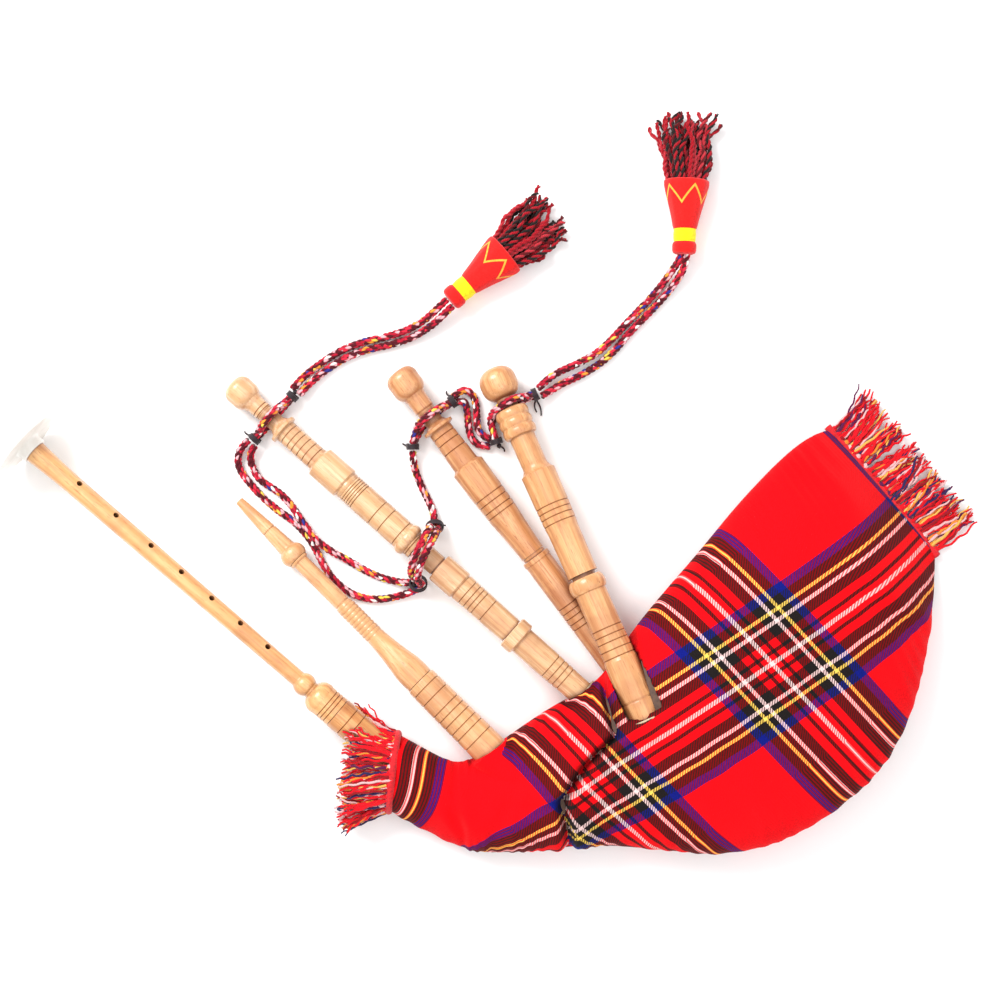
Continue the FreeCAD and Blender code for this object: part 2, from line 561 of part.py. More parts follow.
def skin(rows, floor):
    """A closed solid over rows of control points, cut flat at a height."""
    count = len(rows)
    degree = min(3, count - 1)
    poles = [[row[i] for row in rows] for i in range(SECTION_POINTS)]
    spans = count - degree
    surface = Part.BSplineSurface()
    surface.buildFromPolesMultsKnots(
        poles, [1] * (SECTION_POINTS + 1), [degree + 1] + [1] * (spans - 1) + [degree + 1],
        list(range(SECTION_POINTS + 1)), list(range(spans + 1)), True, False, 3, degree,
    )
    side = surface.toShape()
    rims = [edge for edge in side.Edges if edge.isClosed()]
    shell = Part.makeShell([side] + [Part.Face(Part.Wire([rim])) for rim in rims])
    shell.sewShape()
    form = Part.makeSolid(shell)
    if form.Volume < 0:
        form.reverse()
    block = Part.makeBox(900, 900, 200, Vector(-450, -450, floor))
    return form.common(block)


def pillow(inset, floor):
    """The bag's form, inset on all sides and cut flat where it lies."""
    sections = list(SECTIONS)
    if inset > 0:
        sections[0] = slide_section(SECTIONS[0], SECTIONS[1], inset)
        sections[-1] = slide_section(SECTIONS[-1], SECTIONS[-2], inset + 3.0)
    return skin([section_points(*section, inset) for section in sections], floor)


def slide_section(section, neighbour, distance):
    """A section moved towards its neighbour by a distance."""
    moved = []
    for end, other in zip(section[:2], neighbour[:2]):
        here = Vector(end[0], end[1], 0)
        step = Vector(other[0], other[1], 0) - here
        there = here + step * min(distance / step.Length, 0.9)
        moved.append((there.x, there.y))
    share = min(distance / 20.0, 0.9)
    thickness = section[2] + (neighbour[2] - section[2]) * share
    return moved[0], moved[1], thickness


def on_pipe(pipe, radius, start, end):
    """A cylinder on a pipe's axis between two stations."""
    frame = FRAMES[pipe]
    base = frame.multVec(Vector(0, 0, start))
    along = frame.Rotation.multVec(Vector(0, 0, 1))
    return Part.makeCylinder(radius, end - start, base, along)


def bag():
    wall = dim("cover_wall")
    cover = pillow(0.0, 0.0).cut(pillow(wall, wall))
    inset = dim("bag_inset")
    air = pillow(inset, inset - 1.5)
    hollow = pillow(inset + dim("bag_wall"), inset - 1.5 + dim("bag_wall"))
    for pipe, entry, radius, stock_end, end_radius, binding in ENTRIES:
        end = dim(stock_end)
        cover = cover.cut(on_pipe(pipe, radius + dim("slit_gap"), entry, end + 4.0))
        sleeve = end_radius + dim("sleeve_wall")
        hollow = hollow.cut(on_pipe(pipe, sleeve, binding - 12.0, binding + 8.0))
    air = air.cut(hollow)
    for pipe, entry, radius, stock_end, end_radius, binding in ENTRIES:
        air = air.cut(on_pipe(pipe, max(radius, end_radius) + 0.05, entry - 20.0, dim(stock_end) + 30.0))
    bindings = stock_bindings(cover)
    solid("bag_cover", cover)
    solid("air_bag", largest(air.cut(Part.makeCompound(bindings))))
    solid("stock_bindings", Part.makeCompound(bindings))


def largest(shape):
    """The biggest solid of a shape."""
    return max(shape.Solids, key=lambda one: one.Volume)


def stock_bindings(cover):
    """Thread windings over the bag's sleeves, pressed in where the cover lies on them."""
    rings = []
    for pipe, entry, radius, stock_end, end_radius, binding in ENTRIES:
        sleeve = end_radius + dim("sleeve_wall")
        end = binding + dim("binding_width")
        outside = on_pipe(pipe, sleeve + dim("binding_build"), binding, end)
        inside = on_pipe(pipe, sleeve - dim("binding_depth"), binding - 1, end + 1)
        rings.append(largest(outside.cut([inside, cover])))
    return rings


# ---- fringes ----

SEAM_FRINGE = [(234.0, 129.2), (264.4, 151.0), (303.0, 110.5), (341.8, 60.3), (308.6, 38.2), (306.6, 40.6)]
NECK_FRINGE_END = ((-86.5, -64.0), (-109.9, -145.5), 23.0)


def end_fringe():
    """The far seam's fringe: a flat pad of its outline, lying on the surface."""
    body = document.addObject("PartDesign::Body", "end_fringe")
    plane = [f for f in body.Origin.OriginFeatures if f.Role == "XY_Plane"][0]
    sketch = body.newObject("Sketcher::SketchObject", "end_fringe_outline")
    sketch.AttachmentSupport = [(plane, "")]
    sketch.MapMode = "FlatFace"
    corners = [Vector(x, y, 0) for x, y in SEAM_FRINGE]
    last = len(corners)
    for i, corner in enumerate(corners):
        sketch.addGeometry(Part.LineSegment(corner, corners[(i + 1) % last]), False)
    for i in range(last):
        sketch.addConstraint(Sketcher.Constraint("Coincident", i, 2, (i + 1) % last, 1))
    pad = body.newObject("PartDesign::Pad", "end_fringe_pad")
    pad.Profile = sketch
    pad.setExpression("Length", "dims.end_fringe_thickness")
    nodes.append(body)


def neck_fringe():
    """The neck's fringe: a flared skirt round the chanter's stock."""
    wall = dim("neck_fringe_wall")
    mouth = SECTIONS[0]
    near = slide_section(mouth, NECK_FRINGE_END, 0.3)
    beyond = slide_section(NECK_FRINGE_END, mouth, -4.0)
    outer = skin([section_points(*section, 0.0) for section in (near, NECK_FRINGE_END)], 0.0)
    inner = skin([section_points(*section, wall) for section in (mouth, beyond)], 0.0)
    skirt = outer.cut(inner).cut(on_pipe("chanter", dim("chanter_stock_radius") + 0.5, 230.0, 345.0))
    solid("neck_fringe", largest(skirt))


# ---- cord: its stretches lie between the loops at the drones, thread ties and tassels ----

ROUTES = {
    "left_tassel_cord_a": [
        (-31.3, 211.4, 12), (-42, 200.5, 8.5), (-57.4, 190.8, 4.2), (-74.8, 185.2, 3),
        (-92.1, 181.7, 3), (-107.6, 175.7, 3), (-121.9, 165.8, 3), (-131.7, 157.5, 5.6),
        (-137.6, 150.4, 7),
    ],
    "left_tassel_cord_b": [
        (-35.3, 216, 12), (-45.7, 205.3, 8.5), (-59.9, 196.4, 4.2), (-76.3, 191, 3),
        (-93.8, 187.5, 3), (-110.4, 181, 3), (-125.5, 170.7, 3), (-136.2, 162, 5.6),
        (-142.2, 154.4, 7),
    ],
    "outer_strand": [
        (-173.4, 118.5, 6.8), (-178, 114.1, 5), (-180.9, 107.9, 3.2), (-180.8, 100.7, 3),
        (-177.1, 94.1, 3), (-171.9, 87.8, 3), (-166.3, 81.5, 3), (-160, 75.6, 3),
        (-153, 69.7, 3), (-145, 64.4, 3), (-137.7, 58.1, 3), (-131, 50.1, 3), (-125.8, 41.4, 3),
        (-121.3, 31.3, 3), (-114.6, 21.5, 3), (-104.8, 13.1, 3), (-93.3, 8.2, 3),
        (-81.1, 7.5, 3), (-69.9, 9.6, 3), (-61.5, 12.1, 3.6), (-52.6, 16.4, 7.6),
    ],
    "inner_strand": [
        (-168.9, 114.6, 7.6), (-171.8, 110.2, 6.4), (-171.8, 104, 4.9), (-169.7, 97.2, 4.5),
        (-165.4, 90.9, 4.5), (-158.6, 86.4, 3.4), (-150.6, 81.2, 3), (-143.9, 73.9, 3.8),
        (-138, 65.5, 6.5), (-132.2, 57.5, 8.6), (-125.9, 49.2, 8.6), (-117.8, 42.5, 6.5),
        (-107.6, 36.9, 3.6), (-96.5, 30.2, 3), (-85.3, 24.3, 3), (-74.1, 20.8, 3),
        (-65, 19.1, 3.6), (-57.3, 19.6, 5.9),
    ],
    "pin_strand_a": [
        (-52.3, 18.7, 10.9), (-53.6, 20.2, 17), (-54.8, 23.1, 27), (-53.5, 29.7, 35.1),
        (-49.5, 39.2, 38.1), (-44.7, 48.1, 34.8), (-42.2, 53.6, 26.4), (-42, 55.2, 16.2),
        (-40.1, 57.3, 9.4),
    ],
    "pin_strand_b": [
        (-57, 21.8, 9.2), (-58, 24.1, 16.7), (-59.2, 27, 26.6), (-58, 33.6, 34.8),
        (-53.9, 43.1, 37.8), (-49.1, 52, 34.5), (-46.6, 57.5, 26), (-46.4, 59.1, 15.9),
        (-46, 56.4, 9.4),
    ],
    "middle_cord": [
        (-43.5, 59.7, 6.6), (-43.7, 66.2, 3.8), (-46.9, 74.9, 3), (-52.1, 84.7, 3),
        (-56.3, 94.8, 3.4), (-58.5, 103.6, 5.6), (-58.6, 110.6, 6.9),
    ],
    "hank_strand_a": [
        (-25.5, 145.8, 7), (-22.9, 146.5, 5.2), (-21.2, 141.6, 3.2), (-20.4, 134.6, 3), (-19.9, 127, 3),
        (-18, 119.6, 3), (-12.8, 115, 3), (-7.3, 114.2, 3.2),
    ],
    "hank_strand_b": [
        (-29.4, 150.2, 7), (-25.6, 153.4, 5.4), (-20, 153.4, 3.6), (-15.8, 148.8, 3), (-14.4, 141.6, 3),
        (-14.2, 135.4, 3.4), (-14.3, 127.6, 5), (-12.9, 120.8, 6.5),
    ],
    "right_tassel_cord_a": [
        (28.9, 154.7, 6.9), (33, 159.2, 5.4), (40.6, 165.2, 3.2), (50.9, 169.9, 3),
        (61.7, 174.8, 3), (71.2, 180.7, 3), (79.5, 188.4, 3), (87.6, 197.4, 3), (97.1, 207.4, 3),
        (106.8, 217.4, 3), (115, 227, 4), (121, 235.6, 7), (126.8, 243.5, 11),
    ],
    "right_tassel_cord_b": [
        (31.4, 149.5, 7.3), (36.4, 152.4, 5.4), (43.9, 157.5, 3.2), (53, 161.5, 3),
        (62.8, 166.4, 3), (72.5, 172.7, 3), (81.3, 180.4, 3), (88.6, 189.1, 3), (94.9, 196.4, 3),
        (103.3, 204.8, 3), (112.3, 214.2, 3), (119.9, 222.8, 4), (126.5, 231.5, 7),
        (131.6, 241.6, 11),
    ],
}
# each drone's loop: the strand over the cord hold, then the strand under it
LOOPS = {
    "bass_cord_loop": [
        [(-167.8, 120.7, 10), (-164.7, 124.4, 12.8), (-163.1, 126.8, 18.6), (-159.6, 131.1, 23.2),
         (-154.6, 136.8, 23.2), (-150.8, 140.8, 18.6), (-148.2, 143.2, 12.8), (-143.3, 148.5, 10)],
        [(-167.5, 120.5, 4), (-160, 128.5, 3.6), (-152.5, 138, 3.6), (-143.1, 148.3, 4)],
    ],
    "tenor_left_cord_loop": [
        [(-58.5, 116.3, 10.2), (-56.5, 123.6, 12.8), (-54.8, 128.7, 18.2), (-49.9, 132.9, 24.2),
         (-43.5, 137.7, 24.2), (-39, 140.9, 19.4), (-36.3, 142.4, 13), (-32, 144.7, 10.1)],
        [(-58.5, 116.2, 4.2), (-52.8, 128.3, 3.7), (-43.6, 137.7, 3.7), (-32, 144.6, 4.1)],
    ],
    "tenor_right_cord_loop": [
        [(-0.9, 118.6, 10), (-3.8, 127, 10.6), (-4.8, 133.6, 13), (-1.8, 138.6, 19.6),
         (3.6, 142.2, 26), (10.3, 146.3, 26.1), (15.8, 147.9, 21.1), (18.7, 148.2, 14.5),
         (24.9, 150.3, 10.1)],
        [(-0.9, 118.6, 4.2), (-4, 127, 4), (-3.2, 134.4, 4.4), (3.6, 140.4, 5.1),
         (13.3, 144.7, 5.1), (25.2, 149.5, 4.2)],
    ],
}
# thread ties: the middle of each, and the direction of the cord through it
TIES = {
    "bass_cord_ties": [((-168.6, 119.6, 7.0), (0.661, 0.751, 0)), ((-142.4, 149.3, 7.0), (0.661, 0.751, 0))],
    "tenor_left_cord_ties": [((-58.7, 114.0, 7.2), (-0.058, 0.998, 0)), ((-30.9, 145.5, 7.0), (0.8, 0.6, 0))],
    "tenor_right_cord_ties": [((-0.6, 117.7, 7.1), (-0.33, 0.944, 0)), ((26.4, 150.5, 7.1), (0.916, 0.401, 0))],
    "cord_ties": [((-54.8, 19.1, 8.4), (0.08, 0.56, 0.825)), ((-43.3, 58.3, 8.0), (-0.115, 0.714, -0.691))],
}


def cord_tube(name, points, diameter):
    """A plain tube along straight runs joined by arcs as large as their runs allow."""
    spots = [Vector(*point) for point in points]
    edges = []
    radii = []
    here = spots[0]
    for before, corner, after in zip(spots, spots[1:], spots[2:]):
        incoming = corner - before
        outgoing = after - corner
        shorter = min(incoming.Length, outgoing.Length)
        inward = incoming * (1.0 / incoming.Length)
        outward = outgoing * (1.0 / outgoing.Length)
        turn = inward.getAngle(outward)
        cutback = 0.45 * shorter
        radius = cutback / math.tan(turn / 2)
        radii.append(radius)
        start = corner - inward * cutback
        end = corner + outward * cutback
        bisector = (outward - inward).normalize()
        centre_distance = math.hypot(cutback, radius)
        middle = corner + bisector * (centre_distance - radius)
        edges.append(Part.LineSegment(here, start).toShape())
        edges.append(Part.Arc(start, middle, end).toShape())
        here = end
    edges.append(Part.LineSegment(here, spots[-1]).toShape())
    path = Part.Wire(edges)
    profile = Part.Wire([Part.Circle(spots[0], spots[1] - spots[0], diameter / 2).toShape()])
    tube = path.makePipeShell([profile], True, True)
    expected = path.Length * math.pi * diameter**2 / 4
    print("%s: length %.1f, radii %s, volume %.3f of section x length" % (
        name, path.Length, " ".join("%.0f" % radius for radius in radii), tube.Volume / expected))
    return tube


def cords():
    diameter = dim("cord_diameter")
    for name, points in ROUTES.items():
        solid(name, cord_tube(name, points, diameter))
    for name, strands in LOOPS.items():
        tubes = [cord_tube(name, points, diameter) for points in strands]
        solid(name, Part.makeCompound(tubes))
    width = dim("tie_width")
    for name, spots in TIES.items():
        rings = []
        for middle, direction in spots:
            along = Vector(*direction).normalize()
            base = Vector(*middle) - along * (width / 2)
            rings.append(Part.makeCylinder(dim("tie_radius"), width, base, along))
        solid(name, Part.makeCompound(rings))


# tassels: where the head's neck is, the plan angle it points in, and the skirt's own angle
TASSELS = {
    "tassel_left": ((-33.0, 215.0), 40.0, 44.0),
    "tassel_right": ((129.4, 247.0), 88.0, 90.0),
}


def tassel(name, neck, head_angle, skirt_angle):
    """A bound head on its side, and the skirt of strands that spreads from it on the surface."""
    radius = dim("tassel_head_radius")
    length = dim("tassel_head_length")
    angle = math.radians(head_angle)
    along = Vector(math.cos(angle), math.sin(angle), 0)
    side = Vector(-math.sin(angle), math.cos(angle), 0)
    place = Placement(
        Vector(neck[0], neck[1], radius + 0.2), Rotation(side, Vector(0, 0, 1), along, "ZXY")
    )
    outline = [(0.0, 0.0), (0.0, 4.5), (3.0, 6.5), (8.0, 8.2), (9.0, 8.2), (13.0, 8.2)]
    outline += [(14.0, 7.8), (18.0, 10.8, "crown"), (26.0, "tassel_head_radius")]
    outline += [("tassel_head_length", "tassel_head_radius"), ("tassel_head_length", 0.0)]
    turned(name + "_head", outline, place)

    fan = math.radians(skirt_angle)
    heading = Vector(math.cos(fan), math.sin(fan), 0)
    start = Vector(neck[0], neck[1], 0) + along * (length + 0.3)
    wires = []
    for share, wide, tall in ((0.0, radius - 1.0, radius - 1.0), (0.35, 16.0, 10.5), (1.0, 22.0, 7.0)):
        reach = share * dim("tassel_skirt_length")
        direction = (along * (1 - share) + heading * share).normalize()
        centre = start + direction * reach + Vector(0, 0, tall + 0.3)
        across = Vector(0, 0, 1).cross(direction)
        oval = Part.Ellipse(Vector(0, 0, 0), wide, tall).toShape()
        oval.Placement = Placement(centre, Rotation(across, Vector(0, 0, 1), direction * -1, "YXZ"))
        wires.append(Part.Wire([oval]))
    solid(name + "_skirt", Part.makeLoft(wires, True, False))


def check_and_write():
    """Stops on any failed feature, then writes each sub-part to its own file."""
    document.recompute()
    for item in document.Objects:
        if any(word in ("Invalid", "Error") for word in item.State):
            raise RuntimeError("%s failed: %s" % (item.Label, item.State))
    os.makedirs("parts", exist_ok=True)
    for node in nodes:
        shape = node.Shape
        if shape.isNull() or not shape.isValid() or not shape.Solids:
            raise RuntimeError(node.Label + " has no valid solid")
        shape.exportStep("parts/%s.step" % node.Label)
    print(len(nodes), "nodes")


bass_drone()
tenor_left()
tenor_right()
blowpipe()
chanter()
bag()
end_fringe()
neck_fringe()
cords()
for tassel_name, (tassel_neck, tassel_head_angle, tassel_skirt_angle) in TASSELS.items():
    tassel(tassel_name, tassel_neck, tassel_head_angle, tassel_skirt_angle)
check_and_write()
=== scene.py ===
import math

import bpy
import numpy as np
from mathutils import Matrix


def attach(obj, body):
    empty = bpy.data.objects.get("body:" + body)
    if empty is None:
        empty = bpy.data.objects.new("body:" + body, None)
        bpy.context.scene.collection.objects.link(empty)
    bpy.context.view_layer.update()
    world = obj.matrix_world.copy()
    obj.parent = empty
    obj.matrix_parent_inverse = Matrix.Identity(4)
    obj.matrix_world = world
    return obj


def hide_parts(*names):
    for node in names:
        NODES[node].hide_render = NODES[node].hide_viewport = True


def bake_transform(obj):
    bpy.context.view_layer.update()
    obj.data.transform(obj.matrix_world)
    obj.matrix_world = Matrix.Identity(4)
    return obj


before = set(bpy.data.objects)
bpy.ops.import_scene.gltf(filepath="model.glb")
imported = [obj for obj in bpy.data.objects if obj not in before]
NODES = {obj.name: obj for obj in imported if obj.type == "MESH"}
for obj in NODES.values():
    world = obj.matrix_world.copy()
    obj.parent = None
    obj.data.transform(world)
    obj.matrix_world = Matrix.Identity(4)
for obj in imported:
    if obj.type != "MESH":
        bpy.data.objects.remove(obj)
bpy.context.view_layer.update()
MM = 0.001

# ---- pipes: outer end, plan angle and climb, as the turned pieces are placed ----
PIPES = {
    "bass": ((-183.6, 157.3, 11.35), -41.36, 3.25),
    "tenor_left": ((-69.4, 165.5, 13.2), -53.15, 1.15),
    "tenor_right": ((-3.2, 167.4, 12.4), -66.37, 7.79),
    "blowpipe": ((-179.6, 76.4, 5.5), -44.35, 4.75),
    "chanter": ((-316.7, 110.3, 27.0), -40.94, -1.03),
}


def pipe_axes(pipe):
    """Outer end in metres, then unit vectors: upward, sideways and along the pipe to the bag."""
    tip, turn, climb = PIPES[pipe]
    turn, climb = math.radians(turn), math.radians(climb)
    along = np.array([math.cos(turn) * math.cos(climb), math.sin(turn) * math.cos(climb), math.sin(climb)])
    side = np.array([math.sin(turn), -math.cos(turn), 0.0])
    return np.array(tip) * MM, np.cross(side, along), side, along


# ---- meshes ----


def mesh_piece(name, points, faces, material, body, uv=None, smooth=True):
    """A piece from arrays: points, faces, and a UV for each face corner."""
    mesh = bpy.data.meshes.new(name)
    mesh.from_pydata(points.tolist(), [], faces)
    if uv is not None:
        layer = mesh.uv_layers.new(name="cloth")
        layer.data.foreach_set("uv", np.ascontiguousarray(uv, dtype=np.float32).ravel())
    mesh.polygons.foreach_set("use_smooth", np.full(len(mesh.polygons), smooth))
    mesh.materials.append(material)
    mesh.update()
    piece = bpy.data.objects.new(name, mesh)
    bpy.context.scene.collection.objects.link(piece)
    if body is not None:
        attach(piece, body)
    return piece


def tubes(paths, radii, sides, marks):
    """Round tubes along many paths at once. At each station a ring of points stands square to the
    path: centre + radius (cos a * first normal + sin a * second normal). paths is (count, stations,
    3), radii broadcasts to (count, stations), marks is a number for each tube. The UV is (metres
    along the tube, mark + share of the way round). Both ends are closed with a flat face."""
    count, stations, _ = paths.shape
    steps = np.gradient(paths, axis=1)
    tangents = steps / np.maximum(np.linalg.norm(steps, axis=2, keepdims=True), 1e-12)
    first = np.empty_like(tangents)
    start = np.where(np.abs(tangents[:, 0, 2:3]) < 0.8, [[0.0, 0.0, 1.0]], [[1.0, 0.0, 0.0]])
    normal = start - tangents[:, 0] * np.sum(start * tangents[:, 0], axis=1, keepdims=True)
    for k in range(stations):
        tangent = tangents[:, k]
        normal = normal - tangent * np.sum(normal * tangent, axis=1, keepdims=True)
        normal = normal / np.maximum(np.linalg.norm(normal, axis=1, keepdims=True), 1e-12)
        first[:, k] = normal
    second = np.cross(tangents, first)
    angles = np.arange(sides) * 2 * np.pi / sides
    radii = np.broadcast_to(radii, (count, stations))[:, :, None, None]
    rings = paths[:, :, None] + radii * (
        np.cos(angles)[:, None] * first[:, :, None] + np.sin(angles)[:, None] * second[:, :, None]
    )
    points = rings.reshape(-1, 3)
    index = np.arange(count * stations * sides).reshape(count, stations, sides)
    ahead = np.roll(index, -1, axis=2)
    quads = np.stack([index[:, :-1], ahead[:, :-1], ahead[:, 1:], index[:, 1:]], axis=-1)
    lengths = np.linalg.norm(np.diff(paths, axis=1), axis=2)
    reach = np.concatenate([np.zeros((count, 1)), np.cumsum(lengths, axis=1)], axis=1)
    around = np.broadcast_to(np.arange(sides) / sides, (count, stations - 1, sides))
    marks = np.asarray(marks, dtype=float).reshape(count, 1, 1)
    low = np.broadcast_to(reach[:, :-1, None], around.shape)
    high = np.broadcast_to(reach[:, 1:, None], around.shape)
    left = marks + around * 0.999
    right = marks + (around + 1.0 / sides) * 0.999
    uv = np.stack([np.stack([low, left], -1), np.stack([low, right], -1),
                   np.stack([high, right], -1), np.stack([high, left], -1)], axis=3).reshape(-1, 2)
    caps = index[:, 0, ::-1].tolist() + index[:, -1].tolist()
    ends = np.concatenate([np.repeat(reach[:, 0], sides), np.repeat(reach[:, -1], sides)])
    tags = np.tile(np.repeat(marks[:, 0, 0], sides), 2)
    uv = np.concatenate([uv, np.stack([ends, tags], axis=1)])
    return points, quads.reshape(-1, 4).tolist() + caps, uv


def joined(parts):
    """Several (points, faces, uv) sets as one."""
    points, faces, uv, base = [], [], [], 0
    for part_points, part_faces, part_uv in parts:
        points.append(part_points)
        faces += [[corner + base for corner in face] for face in part_faces]
        uv.append(part_uv)
        base += len(part_points)
    return np.concatenate(points), faces, np.concatenate(uv)


def grid_faces(rows, columns):
    """Quads of a grid whose columns close round, and the grid places of their corners."""
    row, column = np.meshgrid(np.arange(rows - 1), np.arange(columns), indexing="ij")
    corners = np.stack([
        np.stack([row, column], -1), np.stack([row, column + 1], -1),
        np.stack([row + 1, column + 1], -1), np.stack([row + 1, column], -1),
    ], axis=2).reshape(-1, 4, 2)
    quads = corners[..., 0] * columns + corners[..., 1] % columns
    return quads, corners


# ---- shading ----


class Shading:
    """A material or a node group while it is being wired."""

    def __init__(self, tree):
        self.tree = tree
        self.nodes = tree.nodes
        self.links = tree.links

    def node(self, kind, **settings):
        made = self.nodes.new(kind)
        for name, value in settings.items():
            setattr(made, name, value)
        return made

    def feed(self, socket, value):
        if isinstance(value, bpy.types.NodeSocket):
            self.links.new(value, socket)
        elif value is not None:
            socket.default_value = value

    def math(self, operation, first, second=None, third=None):
        made = self.node("ShaderNodeMath", operation=operation)
        for socket, value in zip(made.inputs, (first, second, third)):
            self.feed(socket, value)
        return made.outputs[0]

    def blend(self, share, first, second, how="MIX"):
        made = self.node("ShaderNodeMix", data_type="RGBA", blend_type=how)
        self.feed(made.inputs[0], share)
        self.feed(made.inputs[6], first)
        self.feed(made.inputs[7], second)
        return made.outputs[2]

    def spread(self, value, low, high, out_low=0.0, out_high=1.0):
        made = self.node("ShaderNodeMapRange", interpolation_type="SMOOTHSTEP")
        for socket, number in zip(made.inputs, (value, low, high, out_low, out_high)):
            self.feed(socket, number)
        return made.outputs[0]

    def noise(self, vector, scale, detail=3.0, rough=0.55):
        made = self.node("ShaderNodeTexNoise")
        self.feed(made.inputs["Vector"], vector)
        for name, number in (("Scale", scale), ("Detail", detail), ("Roughness", rough)):
            made.inputs[name].default_value = number
        return made.outputs["Fac"]

    def stretch(self, vector, scale, location=(0, 0, 0)):
        made = self.node("ShaderNodeMapping")
        self.feed(made.inputs["Vector"], vector)
        made.inputs["Scale"].default_value = scale
        made.inputs["Location"].default_value = location
        return made.outputs[0]

    def ramp(self, value, stops, step=False):
        made = self.node("ShaderNodeValToRGB")
        made.color_ramp.interpolation = "CONSTANT" if step else "LINEAR"
        elements = made.color_ramp.elements
        for place, colour in stops[2:]:
            elements.new(place)
        for element, (place, colour) in zip(elements, stops):
            element.position = place
        for element, (place, colour) in zip(elements, stops):
            element.color = (*colour, 1.0)
        self.feed(made.inputs[0], value)
        return made.outputs[0]

    def group(self, tree, **values):
        made = self.node("ShaderNodeGroup", node_tree=tree)
        for name, value in values.items():
            self.feed(made.inputs[name], value)
        return made

    def hollow(self, distance):
        """How open a spot is to the light within a distance: low in grooves and folds."""
        made = self.node("ShaderNodeAmbientOcclusion", samples=6)
        made.inputs["Distance"].default_value = distance
        return made.outputs["AO"]

    def bump(self, height, strength, distance):
        made = self.node("ShaderNodeBump")
        made.inputs["Strength"].default_value = strength
        made.inputs["Distance"].default_value = distance
        self.feed(made.inputs["Height"], height)
        return made.outputs[0]


def new_group(name, inputs, outputs):
    """A shared shader node group and its input and output nodes."""
    tree = bpy.data.node_groups.new(name, "ShaderNodeTree")
    for label, kind in inputs:
        tree.interface.new_socket(label, in_out="INPUT", socket_type="NodeSocket" + kind)
    for label, kind in outputs:
        tree.interface.new_socket(label, in_out="OUTPUT", socket_type="NodeSocket" + kind)
    shading = Shading(tree)
    return tree, shading, shading.node("NodeGroupInput"), shading.node("NodeGroupOutput")


def new_material(name, constants):
    """A material with its Principled shader; constants go on the shader's own sockets."""
    material = bpy.data.materials.new(name)
    material.use_nodes = True
    shading = Shading(material.node_tree)
    shader = shading.nodes["Principled BSDF"]
    for socket, value in constants.items():
        shader.inputs[socket].default_value = value
    return material, shading, shader


def turned_grain_group():
    """Grain of a turned stick, in its own axes: long fine fibres, slow bands where the growth rings
    are cut, and short dark pores. Grain, Bands and Pores are masks, Height is for a bump."""
    tree, s, given, out = new_group(
        "turned_grain", [("Vector", "Vector"), ("Offset", "Float")],
        [("Grain", "Float"), ("Bands", "Float"), ("Pores", "Float"), ("Height", "Float")],
    )
    shifted = s.node("ShaderNodeVectorMath", operation="ADD")
    s.links.new(given.outputs["Vector"], shifted.inputs[0])
    s.links.new(given.outputs["Offset"], shifted.inputs[1])
    place = shifted.outputs[0]
    fibres = s.noise(s.stretch(place, (900.0, 900.0, 30.0)), 1.0, 4.0, 0.6)
    warp = s.noise(s.stretch(place, (35.0, 35.0, 6.0)), 1.0, 2.0)
    axes = s.node("ShaderNodeSeparateXYZ")
    s.links.new(place, axes.inputs[0])
    cut = s.math("ADD", s.math("MULTIPLY", axes.outputs[0], 1500.0), s.math("MULTIPLY", warp, 9.0))
    bands = s.math("ADD", s.math("MULTIPLY", s.math("SINE", cut), 0.5), 0.5)
    pores = s.spread(s.noise(s.stretch(place, (1700.0, 1700.0, 110.0)), 1.0, 1.0), 0.63, 0.72)
    height = s.math("SUBTRACT", s.math("MULTIPLY", fibres, 0.5), pores)
    for label, value in (("Grain", fibres), ("Bands", bands), ("Pores", pores), ("Height", height)):
        s.feed(out.inputs[label], value)
    return tree


def wool_group():
    """Yarns of many colours. Value picks a yarn's colour, and Vector's first number runs along it.
    Color changes in short lengths, and Height is the twist of the fibres."""
    tree, s, given, out = new_group(
        "mixed_wool", [("Vector", "Vector"), ("Length", "Float"), ("Turns", "Float")],
        [("Value", "Float"), ("Height", "Float")],
    )
    parts = s.node("ShaderNodeSeparateXYZ")
    s.links.new(given.outputs["Vector"], parts.inputs[0])
    run, mark = parts.outputs[0], parts.outputs[1]
    strand = s.math("FLOOR", mark)
    share = s.math("SUBTRACT", mark, strand)
    lean = s.math("ADD", s.math("MULTIPLY", share, 3.0), s.math("MULTIPLY", run, given.outputs["Turns"]))
    yarn = s.math("MODULO", s.math("FLOOR", lean), 3.0)
    piece = s.math("FLOOR", s.math("DIVIDE", run, given.outputs["Length"]))
    key = s.node("ShaderNodeCombineXYZ")
    for socket, value in zip(key.inputs, (strand, yarn, piece)):
        s.feed(socket, value)
    random = s.node("ShaderNodeTexWhiteNoise", noise_dimensions="3D")
    s.links.new(key.outputs[0], random.inputs["Vector"])
    ridge = s.math("ABSOLUTE", s.math("SUBTRACT", s.math("FRACT", lean), 0.5))
    s.feed(out.inputs["Value"], random.outputs["Value"])
    s.feed(out.inputs["Height"], s.math("SUBTRACT", 1.0, ridge))
    return tree


def dust_group():
    """Slow uneven soiling: a mask of soft patches on Object coordinates."""
    tree, s, given, out = new_group(
        "handling", [("Vector", "Vector"), ("Scale", "Float")], [("Mask", "Float")]
    )
    patches = s.node("ShaderNodeTexNoise")
    patches.inputs["Detail"].default_value = 5.0
    s.links.new(given.outputs["Vector"], patches.inputs["Vector"])
    s.links.new(given.outputs["Scale"], patches.inputs["Scale"])
    s.feed(out.inputs["Mask"], s.spread(patches.outputs["Fac"], 0.42, 0.68))
    return tree


GRAIN = turned_grain_group()
WOOL = wool_group()
HANDLING = dust_group()


